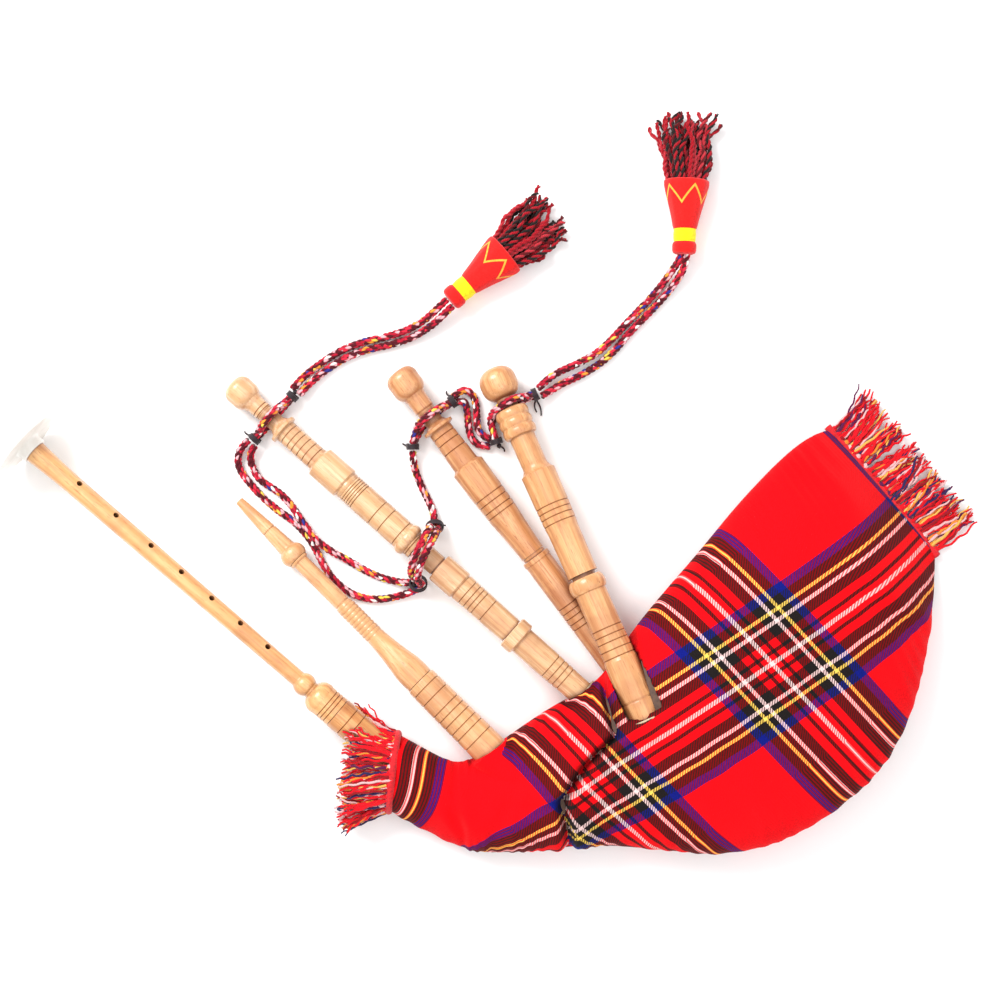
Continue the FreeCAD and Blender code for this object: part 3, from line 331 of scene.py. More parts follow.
def wood(name, pipe, light, mid, dark, offset):
    """Oiled turned wood, its grain along one pipe."""
    light, mid = [0.86 * tone for tone in light], [0.84 * tone for tone in mid]
    material, s, shader = new_material(name, {"Roughness": 0.34, "IOR": 1.5, "Coat Weight": 0.25,
                                              "Coat Roughness": 0.22})
    tip, up, side, along = pipe_axes(pipe)
    turn = Matrix((up, side * -1.0, along)).transposed().to_euler()
    place = s.node("ShaderNodeMapping", vector_type="TEXTURE")
    place.inputs["Location"].default_value = tuple(tip)
    place.inputs["Rotation"].default_value = tuple(turn)
    s.links.new(s.node("ShaderNodeTexCoord").outputs["Object"], place.inputs["Vector"])
    grain = s.group(GRAIN, Vector=place.outputs[0], Offset=offset)
    soil = s.group(HANDLING, Vector=place.outputs[0], Scale=45.0)
    base = s.blend(grain.outputs["Bands"], (*mid, 1), (*light, 1))
    base = s.blend(s.spread(grain.outputs["Grain"], 0.35, 0.75), base, (*mid, 1))
    streaks = s.noise(s.stretch(place.outputs[0], (420.0, 420.0, 13.0)), 1.0, 3.0)
    base = s.blend(s.spread(streaks, 0.50, 0.72, 0.0, 0.5), base, (*dark, 1))
    base = s.blend(s.math("MULTIPLY", grain.outputs["Pores"], 0.8), base, (*dark, 1))
    base = s.blend(s.math("MULTIPLY", soil.outputs["Mask"], 0.45), base, (*dark, 1))
    # painted shade: ambient occlusion darkens the wood's colour in its grooves and next to the cords
    painted_groove_shade = s.spread(s.hollow(0.006), 0.45, 0.93, 0.95, 0.0)
    base = s.blend(painted_groove_shade, base, (*[0.55 * tone for tone in dark], 1))
    s.feed(shader.inputs["Base Color"], base)
    s.feed(shader.inputs["Roughness"], s.spread(soil.outputs["Mask"], 0.0, 1.0, 0.3, 0.46))
    s.feed(shader.inputs["Normal"], s.bump(grain.outputs["Height"], 0.12, 0.0003))
    return material


CORD_YARNS = [(0.0, (0.10, 0.005, 0.012)), (0.36, (0.45, 0.008, 0.03)), (0.60, (0.70, 0.02, 0.05)),
              (0.74, (0.85, 0.42, 0.46)), (0.86, (0.92, 0.85, 0.82)), (0.91, (0.90, 0.32, 0.04)),
              (0.95, (0.88, 0.60, 0.08)), (0.975, (0.03, 0.03, 0.25))]
FRINGE_YARNS = [(0.0, (0.80, 0.004, 0.014)), (0.50, (0.34, 0.004, 0.010)), (0.62, (0.86, 0.26, 0.03)),
                (0.70, (0.86, 0.48, 0.10)), (0.74, (0.86, 0.50, 0.50)), (0.87, (0.12, 0.008, 0.07)),
                (0.94, (0.03, 0.02, 0.10))]
SKIRT_YARNS = [(0.0, (0.42, 0.004, 0.014)), (0.30, (0.14, 0.004, 0.008)), (0.55, (0.018, 0.011, 0.010)),
               (0.84, (0.55, 0.03, 0.045))]


def wool(name, yarns, length, turns, height=0.5, whole=False):
    """Woollen yarn. whole keeps one colour along a strand, and otherwise it changes by lengths."""
    material, s, shader = new_material(name, {"Roughness": 0.85, "Sheen Weight": 0.25,
                                              "Sheen Roughness": 0.4, "Specular IOR Level": 0.2})
    uv = s.node("ShaderNodeUVMap", uv_map="cloth").outputs[0]
    yarn = s.group(WOOL, Vector=uv, Length=length, Turns=turns)
    value = yarn.outputs["Value"]
    if whole:
        parts = s.node("ShaderNodeSeparateXYZ")
        s.links.new(uv, parts.inputs[0])
        random = s.node("ShaderNodeTexWhiteNoise", noise_dimensions="1D")
        s.feed(random.inputs["W"], s.math("FLOOR", parts.outputs[1]))
        value = random.outputs["Value"]
    colour = s.ramp(value, yarns, step=True)
    # painted shade: the colour darkens where the twist's relief is low, between the fibres
    shade = s.spread(yarn.outputs["Height"], 0.5, 0.95, 0.55, 1.0)
    s.feed(shader.inputs["Base Color"], s.blend(1.0, colour, shade, "MULTIPLY"))
    s.feed(shader.inputs["Normal"], s.bump(yarn.outputs["Height"], height, 0.0004))
    return material


# half of the tartan's repeat, from the middle of the narrow lines to the middle of the big red:
# where each stripe starts, and its thread
HALF_REPEAT = [(0.0, "white"), (0.017, "red"), (0.068, "black"), (0.104, "red"), (0.183, "black"),
               (0.278, "white"), (0.314, "black"), (0.368, "gold"), (0.402, "black"),
               (0.490, "blue"), (0.574, "red")]
THREADS = {"red": (0.80, 0.002, 0.006), "black": (0.012, 0.009, 0.009), "white": (0.84, 0.58, 0.56),
           "gold": (0.88, 0.58, 0.10), "blue": (0.004, 0.009, 0.17)}
# how much a red thread darkens where it crosses a stripe of this thread
CROSSING = {"red": 1.0, "black": 0.26, "white": 0.95, "gold": 0.95, "blue": 0.30}


def tartan_group():
    """One set of stripes. Place is in half repeats: a triangle wave of it picks the thread, its
    share of red, and how dark it makes a red thread that crosses it."""
    tree, s, given, out = new_group(
        "stripes", [("Place", "Float")], [("Thread", "Color"), ("Red", "Float"), ("Dark", "Float")]
    )
    fold = s.math("PINGPONG", given.outputs["Place"], 1.0)
    for label, pick in (
        ("Thread", lambda thread: THREADS[thread]),
        ("Red", lambda thread: (float(thread == "red"),) * 3),
        ("Dark", lambda thread: (CROSSING[thread],) * 3),
    ):
        stops = [(place, pick(thread)) for place, thread in HALF_REPEAT]
        s.feed(out.inputs[label], s.ramp(fold, stops, step=True))
    return tree


def tartan():
    """Twilled woollen tartan on the cover's own UV, in half repeats of the pattern."""
    material, s, shader = new_material("tartan_cloth", {"Roughness": 0.92, "Sheen Weight": 0.04,
                                                        "Sheen Roughness": 0.45,
                                                        "Specular IOR Level": 0.08})
    stripes = tartan_group()
    uv = s.node("ShaderNodeUVMap", uv_map="cloth").outputs[0]
    parts = s.node("ShaderNodeSeparateXYZ")
    s.links.new(uv, parts.inputs[0])
    warp = s.group(stripes, Place=parts.outputs[0])
    weft = s.group(stripes, Place=parts.outputs[1])
    lean = s.math("MULTIPLY", s.math("ADD", parts.outputs[0], parts.outputs[1]), 36.0)
    twill = s.math("PINGPONG", lean, 0.5)
    over = s.spread(twill, 0.16, 0.34, 0.14, 0.86)

    def crossed(own, other):
        dark = s.blend(own.outputs["Red"], (1, 1, 1, 1), other.outputs["Dark"])
        return s.blend(1.0, own.outputs["Thread"], dark, "MULTIPLY")

    colour = s.blend(over, crossed(warp, weft), crossed(weft, warp))
    place = s.node("ShaderNodeTexCoord").outputs["Object"]
    fuzz = s.noise(place, 900.0, 2.0)
    soft = s.noise(place, 14.0, 3.0)
    colour = s.blend(1.0, colour, s.spread(fuzz, 0.3, 0.7, 0.86, 1.08), "MULTIPLY")
    colour = s.blend(1.0, colour, s.spread(soft, 0.3, 0.7, 0.94, 1.03), "MULTIPLY")
    # painted shade: ambient occlusion darkens the cloth's colour in the crease, the folds and the slit
    colour = s.blend(1.0, colour, s.spread(s.hollow(0.012), 0.2, 0.85, 0.12, 1.0), "MULTIPLY")
    s.feed(shader.inputs["Base Color"], colour)
    weave = s.math("ADD", s.math("MULTIPLY", twill, 1.4), s.math("MULTIPLY", fuzz, 0.6))
    s.feed(shader.inputs["Normal"], s.bump(weave, 0.35, 0.0004))
    return material


def tassel_cap_material():
    """Felted red cap: UV x is the share of its length, UV y the share round it. A yellow band and
    a thin yellow zigzag lie on it."""
    material, s, shader = new_material("tassel_cap", {"Roughness": 0.9, "Sheen Weight": 0.2,
                                                      "Specular IOR Level": 0.15})
    parts = s.node("ShaderNodeSeparateXYZ")
    s.links.new(s.node("ShaderNodeUVMap", uv_map="cloth").outputs[0], parts.inputs[0])
    run, turn = parts.outputs[0], parts.outputs[1]
    band = s.math("MULTIPLY", s.math("GREATER_THAN", run, 0.165), s.math("LESS_THAN", run, 0.335))
    zigzag = s.math("PINGPONG", s.math("MULTIPLY", turn, 5.0), 0.5)
    line = s.math("ABSOLUTE", s.math("SUBTRACT", run, s.math("ADD", 0.67, s.math("MULTIPLY", zigzag, 0.46))))
    line = s.spread(line, 0.016, 0.026, 1.0, 0.0)
    place = s.node("ShaderNodeTexCoord").outputs["Object"]
    felt = s.noise(place, 700.0, 3.0)
    colour = s.blend(line, (0.74, 0.012, 0.010, 1), (0.86, 0.42, 0.05, 1))
    colour = s.blend(band, colour, (0.95, 0.78, 0.01, 1))
    colour = s.blend(1.0, colour, s.spread(felt, 0.3, 0.7, 0.8, 1.1), "MULTIPLY")
    s.feed(shader.inputs["Base Color"], colour)
    wraps = s.math("SINE", s.math("MULTIPLY", run, 330.0))
    relief = s.math("ADD", felt, s.math("MULTIPLY", wraps, s.math("MULTIPLY", band, 0.5)))
    s.feed(shader.inputs["Normal"], s.bump(s.math("ADD", relief, line), 0.4, 0.0006))
    return material


def plain(name, colour, shade, scale, bump, constants):
    """A finish of one colour that varies with fine noise and slow soiling."""
    material, s, shader = new_material(name, constants)
    place = s.node("ShaderNodeTexCoord").outputs["Object"]
    fine = s.noise(place, scale, 4.0)
    soil = s.group(HANDLING, Vector=place, Scale=30.0)
    base = s.blend(s.spread(fine, 0.35, 0.7), (*colour, 1), (*shade, 1))
    base = s.blend(s.math("MULTIPLY", soil.outputs["Mask"], 0.3), base, (*shade, 1))
    s.feed(shader.inputs["Base Color"], base)
    s.feed(shader.inputs["Normal"], s.bump(fine, bump, 0.0004))
    return material


def wound(name, colour, shade, pipe, pitch):
    """Thread wound round a pipe: fine rings along the pipe's own axis."""
    material, s, shader = new_material(name, {"Roughness": 0.75, "Sheen Weight": 0.15})
    tip, up, side, along = pipe_axes(pipe)
    place = s.node("ShaderNodeTexCoord").outputs["Object"]
    reach = s.node("ShaderNodeVectorMath", operation="DOT_PRODUCT")
    s.links.new(place, reach.inputs[0])
    reach.inputs[1].default_value = tuple(along / pitch)
    thread = s.math("PINGPONG", reach.outputs["Value"], 0.5)
    # painted shade: the seams between the turns of thread take the darker colour
    colour = s.blend(s.spread(thread, 0.05, 0.3), (*shade, 1), (*colour, 1))
    fine = s.noise(place, 600.0, 2.0)
    s.feed(shader.inputs["Base Color"], s.blend(1.0, colour, s.spread(fine, 0.3, 0.7, 0.8, 1.1), "MULTIPLY"))
    s.feed(shader.inputs["Normal"], s.bump(thread, 0.6, 0.0004))
    return material


def paint_node(node, material):
    """A CAD node keeps its shape and gets a finish."""
    piece = NODES[node]
    for place in piece.material_slots:
        place.link = "OBJECT"
        place.material = material


# ---- camera, light and floor ----


def studio():
    camera = bpy.data.objects.new("camera", bpy.data.cameras.new("camera"))
    camera.data.lens = 64.3
    camera.data.sensor_width = 36.0
    camera.location = (0.002, 0.077, 1.25)
    bpy.context.scene.collection.objects.link(camera)
    bpy.context.scene.camera = camera

    for name, place, size, power in (
        ("key_light", (-0.9, 1.0, 1.3), 0.8, 34.0),
        ("fill_light", (0.9, -0.5, 1.6), 1.6, 9.0),
        ("top_light", (0.0, 0.1, 2.4), 2.6, 22.0),
    ):
        light = bpy.data.lights.new(name, "AREA")
        light.size = size
        light.energy = power
        lamp = bpy.data.objects.new(name, light)
        lamp.location = place
        aim = np.array([0.0, 0.05, 0.0]) - np.array(place)
        lamp.rotation_euler = Matrix.Identity(3).to_euler()
        level = math.hypot(aim[0], aim[1])
        lamp.rotation_euler = (math.atan2(level, -aim[2]), 0.0, math.atan2(-aim[0], aim[1]))
        bpy.context.scene.collection.objects.link(lamp)

    world = bpy.data.worlds.new("studio")
    world.use_nodes = True
    world.node_tree.nodes["Background"].inputs["Color"].default_value = (1.0, 1.0, 1.0, 1.0)
    world.node_tree.nodes["Background"].inputs["Strength"].default_value = 0.72
    bpy.context.scene.world = world
    bpy.context.scene.view_settings.view_transform = "Standard"

    material, shading, shader = new_material("paper", {"Roughness": 0.9, "Specular IOR Level": 0.1})
    place = shading.node("ShaderNodeTexCoord").outputs["Object"]
    tone = shading.spread(shading.noise(place, 3.0), 0.3, 0.7, 0.90, 0.93)
    shading.feed(shader.inputs["Base Color"], tone)
    reach = 6.0
    corners = np.array([[-1, -1, 0], [1, -1, 0], [1, 1, 0], [-1, 1, 0]], dtype=float) * reach
    corners[:, 2] = -0.0003
    mesh_piece("floor", corners, [[0, 1, 2, 3]], material, None)


studio()

# ---- cord ----

CORD = 0.0056
TURN = 0.0112
ROUTES = {
    "left_tassel_cord_a": ["bag", "bass_top", [
        (-31.3, 211.4, 12), (-42, 200.5, 8.5), (-57.4, 190.8, 4.2), (-74.8, 185.2, 3),
        (-92.1, 181.7, 3), (-107.6, 175.7, 3), (-121.9, 165.8, 3), (-131.7, 157.5, 5.6),
        (-137.6, 150.4, 7)]],
    "left_tassel_cord_b": ["bag", "bass_top", [
        (-35.3, 216, 12), (-45.7, 205.3, 8.5), (-59.9, 196.4, 4.2), (-76.3, 191, 3),
        (-93.8, 187.5, 3), (-110.4, 181, 3), (-125.5, 170.7, 3), (-136.2, 162, 5.6),
        (-142.2, 154.4, 7)]],
    "outer_strand": ["bag", "bass_top", [
        (-173.4, 118.5, 6.8), (-178, 114.1, 5), (-180.9, 107.9, 3.2), (-180.8, 100.7, 3),
        (-177.1, 94.1, 3), (-171.9, 87.8, 3), (-166.3, 81.5, 3), (-160, 75.6, 3), (-153, 69.7, 3),
        (-145, 64.4, 3), (-137.7, 58.1, 3), (-131, 50.1, 3), (-125.8, 41.4, 3), (-121.3, 31.3, 3),
        (-114.6, 21.5, 3), (-104.8, 13.1, 3), (-93.3, 8.2, 3), (-81.1, 7.5, 3), (-69.9, 9.6, 3),
        (-61.5, 12.1, 3.6), (-52.6, 16.4, 7.6)]],
    "inner_strand": ["bag", "bass_top", [
        (-168.9, 114.6, 7.6), (-171.8, 110.2, 6.4), (-171.8, 104, 4.9), (-169.7, 97.2, 4.5),
        (-165.4, 90.9, 4.5), (-158.6, 86.4, 3.4), (-150.6, 81.2, 3), (-143.9, 73.9, 3.8),
        (-138, 65.5, 6.5), (-132.2, 57.5, 8.6), (-125.9, 49.2, 8.6), (-117.8, 42.5, 6.5),
        (-107.6, 36.9, 3.6), (-96.5, 30.2, 3), (-85.3, 24.3, 3), (-74.1, 20.8, 3),
        (-65, 19.1, 3.6), (-57.3, 19.6, 5.9)]],
    "pin_strand_a": ["bag", None, [
        (-52.3, 18.7, 10.9), (-53.6, 20.2, 17), (-54.8, 23.1, 27), (-53.5, 29.7, 35.1),
        (-49.5, 39.2, 38.1), (-44.7, 48.1, 34.8), (-42.2, 53.6, 26.4), (-42, 55.2, 16.2),
        (-40.1, 57.3, 9.4)]],
    "pin_strand_b": ["bag", None, [
        (-57, 21.8, 9.2), (-58, 24.1, 16.7), (-59.2, 27, 26.6), (-58, 33.6, 34.8),
        (-53.9, 43.1, 37.8), (-49.1, 52, 34.5), (-46.6, 57.5, 26), (-46.4, 59.1, 15.9),
        (-46, 56.4, 9.4)]],
    "middle_cord": ["bag", "tenor_left_top", [
        (-43.5, 59.7, 6.6), (-43.7, 66.2, 3.8), (-46.9, 74.9, 3), (-52.1, 84.7, 3),
        (-56.3, 94.8, 3.4), (-58.5, 103.6, 5.6), (-58.6, 110.6, 6.9)]],
    "hank_strand_a": ["bag", "tenor_left_top", [
        (-27.5, 145, 7), (-22.9, 146.5, 5.2), (-21.2, 141.6, 3.2), (-20.4, 134.6, 3), (-19.9, 127, 3),
        (-18, 119.6, 3), (-12.8, 115, 3), (-5.3, 114.4, 3.6)]],
    "hank_strand_b": ["bag", "tenor_left_top", [
        (-30.4, 148.6, 7), (-25.6, 153.4, 5.4), (-20, 153.4, 3.6), (-15.8, 148.8, 3), (-14.4, 141.6, 3),
        (-14.2, 135.4, 3.4), (-14, 127.6, 5), (-10.4, 121.6, 6.8), (-4.6, 119.2, 7.4)]],
    "right_tassel_cord_a": ["bag", "tenor_right_top", [
        (28.9, 154.7, 6.9), (33, 159.2, 5.4), (40.6, 165.2, 3.2), (50.9, 169.9, 3),
        (61.7, 174.8, 3), (71.2, 180.7, 3), (79.5, 188.4, 3), (87.6, 197.4, 3), (97.1, 207.4, 3),
        (106.8, 217.4, 3), (115, 227, 4), (121, 235.6, 7), (126.6, 243.5, 11), (128.2, 249, 12.6)]],
    "right_tassel_cord_b": ["bag", "tenor_right_top", [
        (31.4, 149.5, 7.3), (36.4, 152.4, 5.4), (43.9, 157.5, 3.2), (53, 161.5, 3),
        (62.8, 166.4, 3), (72.5, 172.7, 3), (81.3, 180.4, 3), (88.6, 189.1, 3), (94.9, 196.4, 3),
        (103.3, 204.8, 3), (112.3, 214.2, 3), (119.9, 222.8, 4), (126.5, 231.5, 7),
        (131.2, 241.6, 11), (131.4, 248.6, 12.6)]],
    "bass_cord_loop": ["bass_top", None, [
        (-167.8, 120.7, 10), (-164.7, 124.4, 12.8), (-163.1, 126.8, 18.6), (-159.6, 131.1, 23.2),
        (-154.6, 136.8, 23.2), (-150.8, 140.8, 18.6), (-148.2, 143.2, 12.8), (-143.3, 148.5, 10)]],
    "bass_cord_under": ["bass_top", None, [
        (-167.5, 120.5, 4), (-160, 128.5, 3.6), (-152.5, 138, 3.6), (-143.1, 148.3, 4)]],
    "tenor_left_cord_loop": ["tenor_left_top", None, [
        (-58.5, 116.3, 10.2), (-56.5, 123.6, 12.8), (-54.8, 128.7, 18.2), (-49.9, 132.9, 24.2),
        (-43.5, 137.7, 24.2), (-39, 140.9, 19.4), (-36.3, 142.4, 13), (-32, 144.7, 10.1)]],
    "tenor_left_cord_under": ["tenor_left_top", None, [
        (-58.5, 116.2, 4.2), (-52.8, 128.3, 3.7), (-43.6, 137.7, 3.7), (-32, 144.6, 4.1)]],
    "tenor_right_cord_loop": ["tenor_right_top", None, [
        (-0.9, 118.6, 10), (-3.8, 127, 10.6), (-4.8, 133.6, 13), (-1.8, 138.6, 19.6),
        (3.6, 142.2, 26), (10.3, 146.3, 26.1), (15.8, 147.9, 21.1), (18.7, 148.2, 14.5),
        (24.9, 150.3, 10.1)]],
    "tenor_right_cord_under": ["tenor_right_top", None, [
        (-0.9, 118.6, 4.2), (-4, 127, 4), (-3.2, 134.4, 4.4), (3.6, 140.4, 5.1),
        (13.3, 144.7, 5.1), (25.2, 149.5, 4.2)]],
}


def cord_line(points):
    """The cord's centre line: a smooth spline led by its route points, then even stations on it."""
    curve = bpy.data.curves.new("route", "CURVE")
    curve.dimensions = "3D"
    spline = curve.splines.new("NURBS")
    spline.points.add(len(points) - 1)
    for place, point in zip(spline.points, points):
        place.co = (point[0] * MM, point[1] * MM, point[2] * MM, 1.0)
    spline.order_u = 3
    spline.use_endpoint_u = True
    spline.resolution_u = 16
    holder = bpy.data.objects.new("route", curve)
    mesh = bpy.data.meshes.new_from_object(holder)
    line = np.empty(len(mesh.vertices) * 3)
    mesh.vertices.foreach_get("co", line)
    line = line.reshape(-1, 3)
    bpy.data.meshes.remove(mesh)
    bpy.data.objects.remove(holder)
    bpy.data.curves.remove(curve)
    reach = np.concatenate([[0.0], np.cumsum(np.linalg.norm(np.diff(line, axis=0), axis=1))])
    stations = np.linspace(0.0, reach[-1], max(int(reach[-1] / 0.0009), 12))
    return np.stack([np.interp(stations, reach, line[:, i]) for i in range(3)], axis=1), reach[-1]


def carried(line):
    """Two normals at each station of one line, without twist along it."""
    tangents = np.gradient(line, axis=0)
    tangents /= np.linalg.norm(tangents, axis=1, keepdims=True)
    first = np.empty_like(line)
    normal = np.array([0.0, 0.0, 1.0]) if abs(tangents[0, 2]) < 0.8 else np.array([1.0, 0.0, 0.0])
    for k, tangent in enumerate(tangents):
        normal = normal - tangent * np.dot(normal, tangent)
        normal = normal / np.linalg.norm(normal)
        first[k] = normal
    return first, np.cross(tangents, first)


def laid_rope(line, length, diameter, turn, plies=3):
    """Plies wound round a line: line + lay radius (cos a * first + sin a * second), where a grows
    by one turn in each pitch and each ply starts its share of a turn later."""
    first, second = carried(line)
    stations = np.linspace(0.0, length, len(line))
    angle = 2 * np.pi * (stations[None, :] / turn + np.arange(plies)[:, None] / plies)
    lay = diameter * 0.25
    paths = line[None] + lay * (np.cos(angle)[..., None] * first + np.sin(angle)[..., None] * second)
    swell = 1.0 + 0.05 * np.sin(2 * np.pi * stations / 0.0031)
    return tubes(paths, diameter * 0.25 * swell[None, :], 8, np.arange(plies) * 1.0 + 1.0)


CORD_WOOL = wool("cord_wool", CORD_YARNS, 0.0065, 330.0)
lines = {name: cord_line(points) for name, (a, b, points) in ROUTES.items()}
cords = {}
for number, (name, (body, moving, points)) in enumerate(ROUTES.items()):
    line, length = lines[name]
    rope_points, rope_faces, rope_uv = laid_rope(line, length, CORD, TURN)
    rope_uv[:, 1] += 4.0 * number
    rides_on = None if moving else body
    cords[name] = mesh_piece(name + "_rope", rope_points, rope_faces, CORD_WOOL, rides_on, rope_uv)
    if name in NODES:
        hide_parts(name)

# ---- thread ties: middle, direction through them, body and how their tails lie ----

TIES = {
    "bass_cord_ties": ("bass_top", [((-168.6, 119.6, 7.0), (0.661, 0.751, 0), (-9, 6)),
                                    ((-142.4, 149.3, 7.0), (0.661, 0.751, 0), (6, 9))]),
    "tenor_left_cord_ties": ("tenor_left_top", [((-58.7, 114.0, 7.2), (-0.058, 0.998, 0), (-8, 2)),
                                                ((-30.9, 145.5, 7.0), (0.8, 0.6, 0), (-4, 9))]),
    "tenor_right_cord_ties": ("tenor_right_top", [((-0.6, 117.7, 7.1), (-0.33, 0.944, 0), (6, -8)),
                                                  ((26.4, 150.5, 7.1), (0.916, 0.401, 0), (4, -19))]),
    "cord_ties": ("bag", [((-54.8, 19.1, 8.4), (0.08, 0.56, 0.825), (-9, -4)),
                          ((-43.3, 58.3, 8.0), (-0.115, 0.714, -0.691), (8, 3))]),
}
TIE_RADIUS = 0.0061


def binding(middle, direction, tail):
    """Dark thread wound in close turns round a cord, with two short tails and a small knot."""
    middle = np.array(middle) * MM
    axis = np.array(direction, dtype=float)
    axis /= np.linalg.norm(axis)
    across = np.cross(axis, [0.0, 0.0, 1.0])
    across /= np.linalg.norm(across)
    rise = np.cross(across, axis)
    turns, thread = 4, 0.00062
    angle = np.linspace(0.0, 2 * np.pi * turns, turns * 22 + 1)
    along = (angle / angle[-1] - 0.5) * 0.0034
    wave = 1.0 + 0.02 * np.sin(angle * 0.7)
    ring = TIE_RADIUS - thread * 0.5
    narrow = 0.68 if abs(axis[2]) < 0.5 else 1.0
    winding = middle + along[:, None] * axis + ring * wave[:, None] * (
        narrow * np.cos(angle)[:, None] * across + np.sin(angle)[:, None] * rise)
    parts = [tubes(winding[None], thread, 7, [1.0])]
    start = middle + np.array([tail[0], tail[1], 0.0]) / math.hypot(*tail) * ring * 0.6
    share = np.linspace(0.0, 1.0, 14)
    for sway in (-1.0, 1.0):
        end = middle + np.array([0.7 * tail[0] + 1.6 * sway, 0.7 * tail[1] - 1.2 * sway, 0.0]) * MM
        end[2] = 0.0011
        tail_line = start + (end - start) * share[:, None]
        tail_line[:, 2] = start[2] + (end[2] - start[2]) * np.sqrt(share)
        tail_line[:, 0] += 0.0012 * sway * np.sin(np.pi * share)
        parts.append(tubes(tail_line[None], 0.0007 * (1.0 - 0.25 * share)[None], 7, [2.0 + sway]))
    knot = np.linspace(0.0, 1.0, 9)
    blob = start + np.array([0.0, 0.0, 1.0]) * (knot[:, None] - 0.5) * 0.0034
    parts.append(tubes(blob[None], 0.0017 * np.sin(np.pi * (0.06 + 0.88 * knot))[None], 9, [5.0]))
    return joined(parts)


THREAD = plain("dark_thread", (0.022, 0.008, 0.014), (0.008, 0.005, 0.008), 900.0, 0.5,
               {"Roughness": 0.7, "Sheen Weight": 0.1})
for name, (body, spots) in TIES.items():
    tie_points, tie_faces, tie_uv = joined([binding(*spot) for spot in spots])
    mesh_piece(name + "_thread", tie_points, tie_faces, THREAD, body, tie_uv)
    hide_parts(name)

# ---- bag cover: upper and lower rim points and the half height of each section, neck to far end ----

SECTIONS = np.array([
    (-68.5, -84.7, -74.7, -137.2, 20.5), (-41.5, -99.2, -52.6, -149.6, 20.5),
    (-27.0, -110.1, -20.8, -166.0, 21.5), (4.8, -87.6, 2.0, -166.1, 25.0),
    (40.8, -61.8, 40.5, -162.1, 29.0), (72.7, -48.0, 72.7, -158.5, 30.0),
    (89.5, -13.3, 125.1, -164.1, 36.0), (136.5, 39.4, 179.6, -165.5, 38.0),
    (158.4, 67.4, 234.9, -135.4, 38.0), (179.8, 90.7, 276.2, -93.3, 36.0),
    (201.8, 112.0, 295.8, -32.8, 30.0), (218.3, 122.6, 301.9, 9.3, 20.0),
    (231.6, 125.9, 305.6, 40.0, 4.5)]) * MM
# the deep fold between neck and bag: x for each y, in metres
CREASE_Y = np.array([-170.0, -156.9, -124.6, -101.1, -80.9, -44.0, -30.0]) * MM
CREASE_X = np.array([52.0, 49.0, 43.7, 59.1, 80.0, 71.2, 69.0]) * MM
# cloth drawn over the hidden ends of the stocks: pipe, from, to along it, radius
TENTS = [("bass", 299.0, 352.0, 13.0), ("tenor_left", 239.0, 292.0, 14.2),
         ("blowpipe", 239.0, 290.0, 16.4), ("chanter", 318.0, 360.0, 15.6),
         ("tenor_right", 254.5, 280.0, 16.8)]
# the stock that lies on the cover in a slit: pipe, from, to along it, radius
SLIT = ("tenor_right", 170.0, 253.5, 11.6)
HALF = 73.0 * MM


def spline_rows(values):
    """Weights of the 13 sections at places from 0 to 10, for a clamped cubic spline with even knots."""
    knots = np.concatenate([[0.0] * 3, np.arange(11.0), [10.0] * 3])
    values = np.clip(values, 0.0, 10.0 - 1e-9)[:, None]
    weights = ((values >= knots[:-1]) & (values < knots[1:])).astype(float)
    for degree in (1, 2, 3):
        left = knots[degree:-1] - knots[:-degree - 1]
        right = knots[degree + 1:] - knots[1:-degree]
        lower = np.where(left > 0, (values - knots[:-degree - 1]) / np.where(left > 0, left, 1), 0)
        upper = np.where(right > 0, (knots[degree + 1:] - values) / np.where(right > 0, right, 1), 0)
        weights = lower * weights[:, :-1] + upper * weights[:, 1:]
    return weights


def section_frames(places):
    """Middle, half width vector and half height of the cover at places along it."""
    rows = spline_rows(places) @ SECTIONS
    upper, lower, tall = rows[:, 0:2], rows[:, 2:4], rows[:, 4]
    return (upper + lower) / 2, (upper - lower) / 2, tall


def fold(distance, depth, width):
    """A crease with a soft swell on each side of it: a narrow dip less a wide rise."""
    return depth * (1.3 * np.exp(-(distance / width) ** 2) - 0.75 * np.exp(-(distance / (3.2 * width)) ** 2))


def smooth(value):
    """0 below 0, 1 above 1, and an even ease between."""
    value = np.clip(value, 0.0, 1.0)
    return value * value * (3.0 - 2.0 * value)


def beside(pipe, points):
    """Reach along a pipe, distance from its axis seen from above, and the axis's height there."""
    tip, up, side, along = pipe_axes(pipe)
    level = np.array([along[0], along[1], 0.0]) / math.hypot(along[0], along[1])
    offset = points - tip
    run = offset @ level
    off = np.abs(offset @ np.array([-level[1], level[0], 0.0]))
    climb = along[2] / math.hypot(along[0], along[1])
    return run, off, tip[2] + run * climb


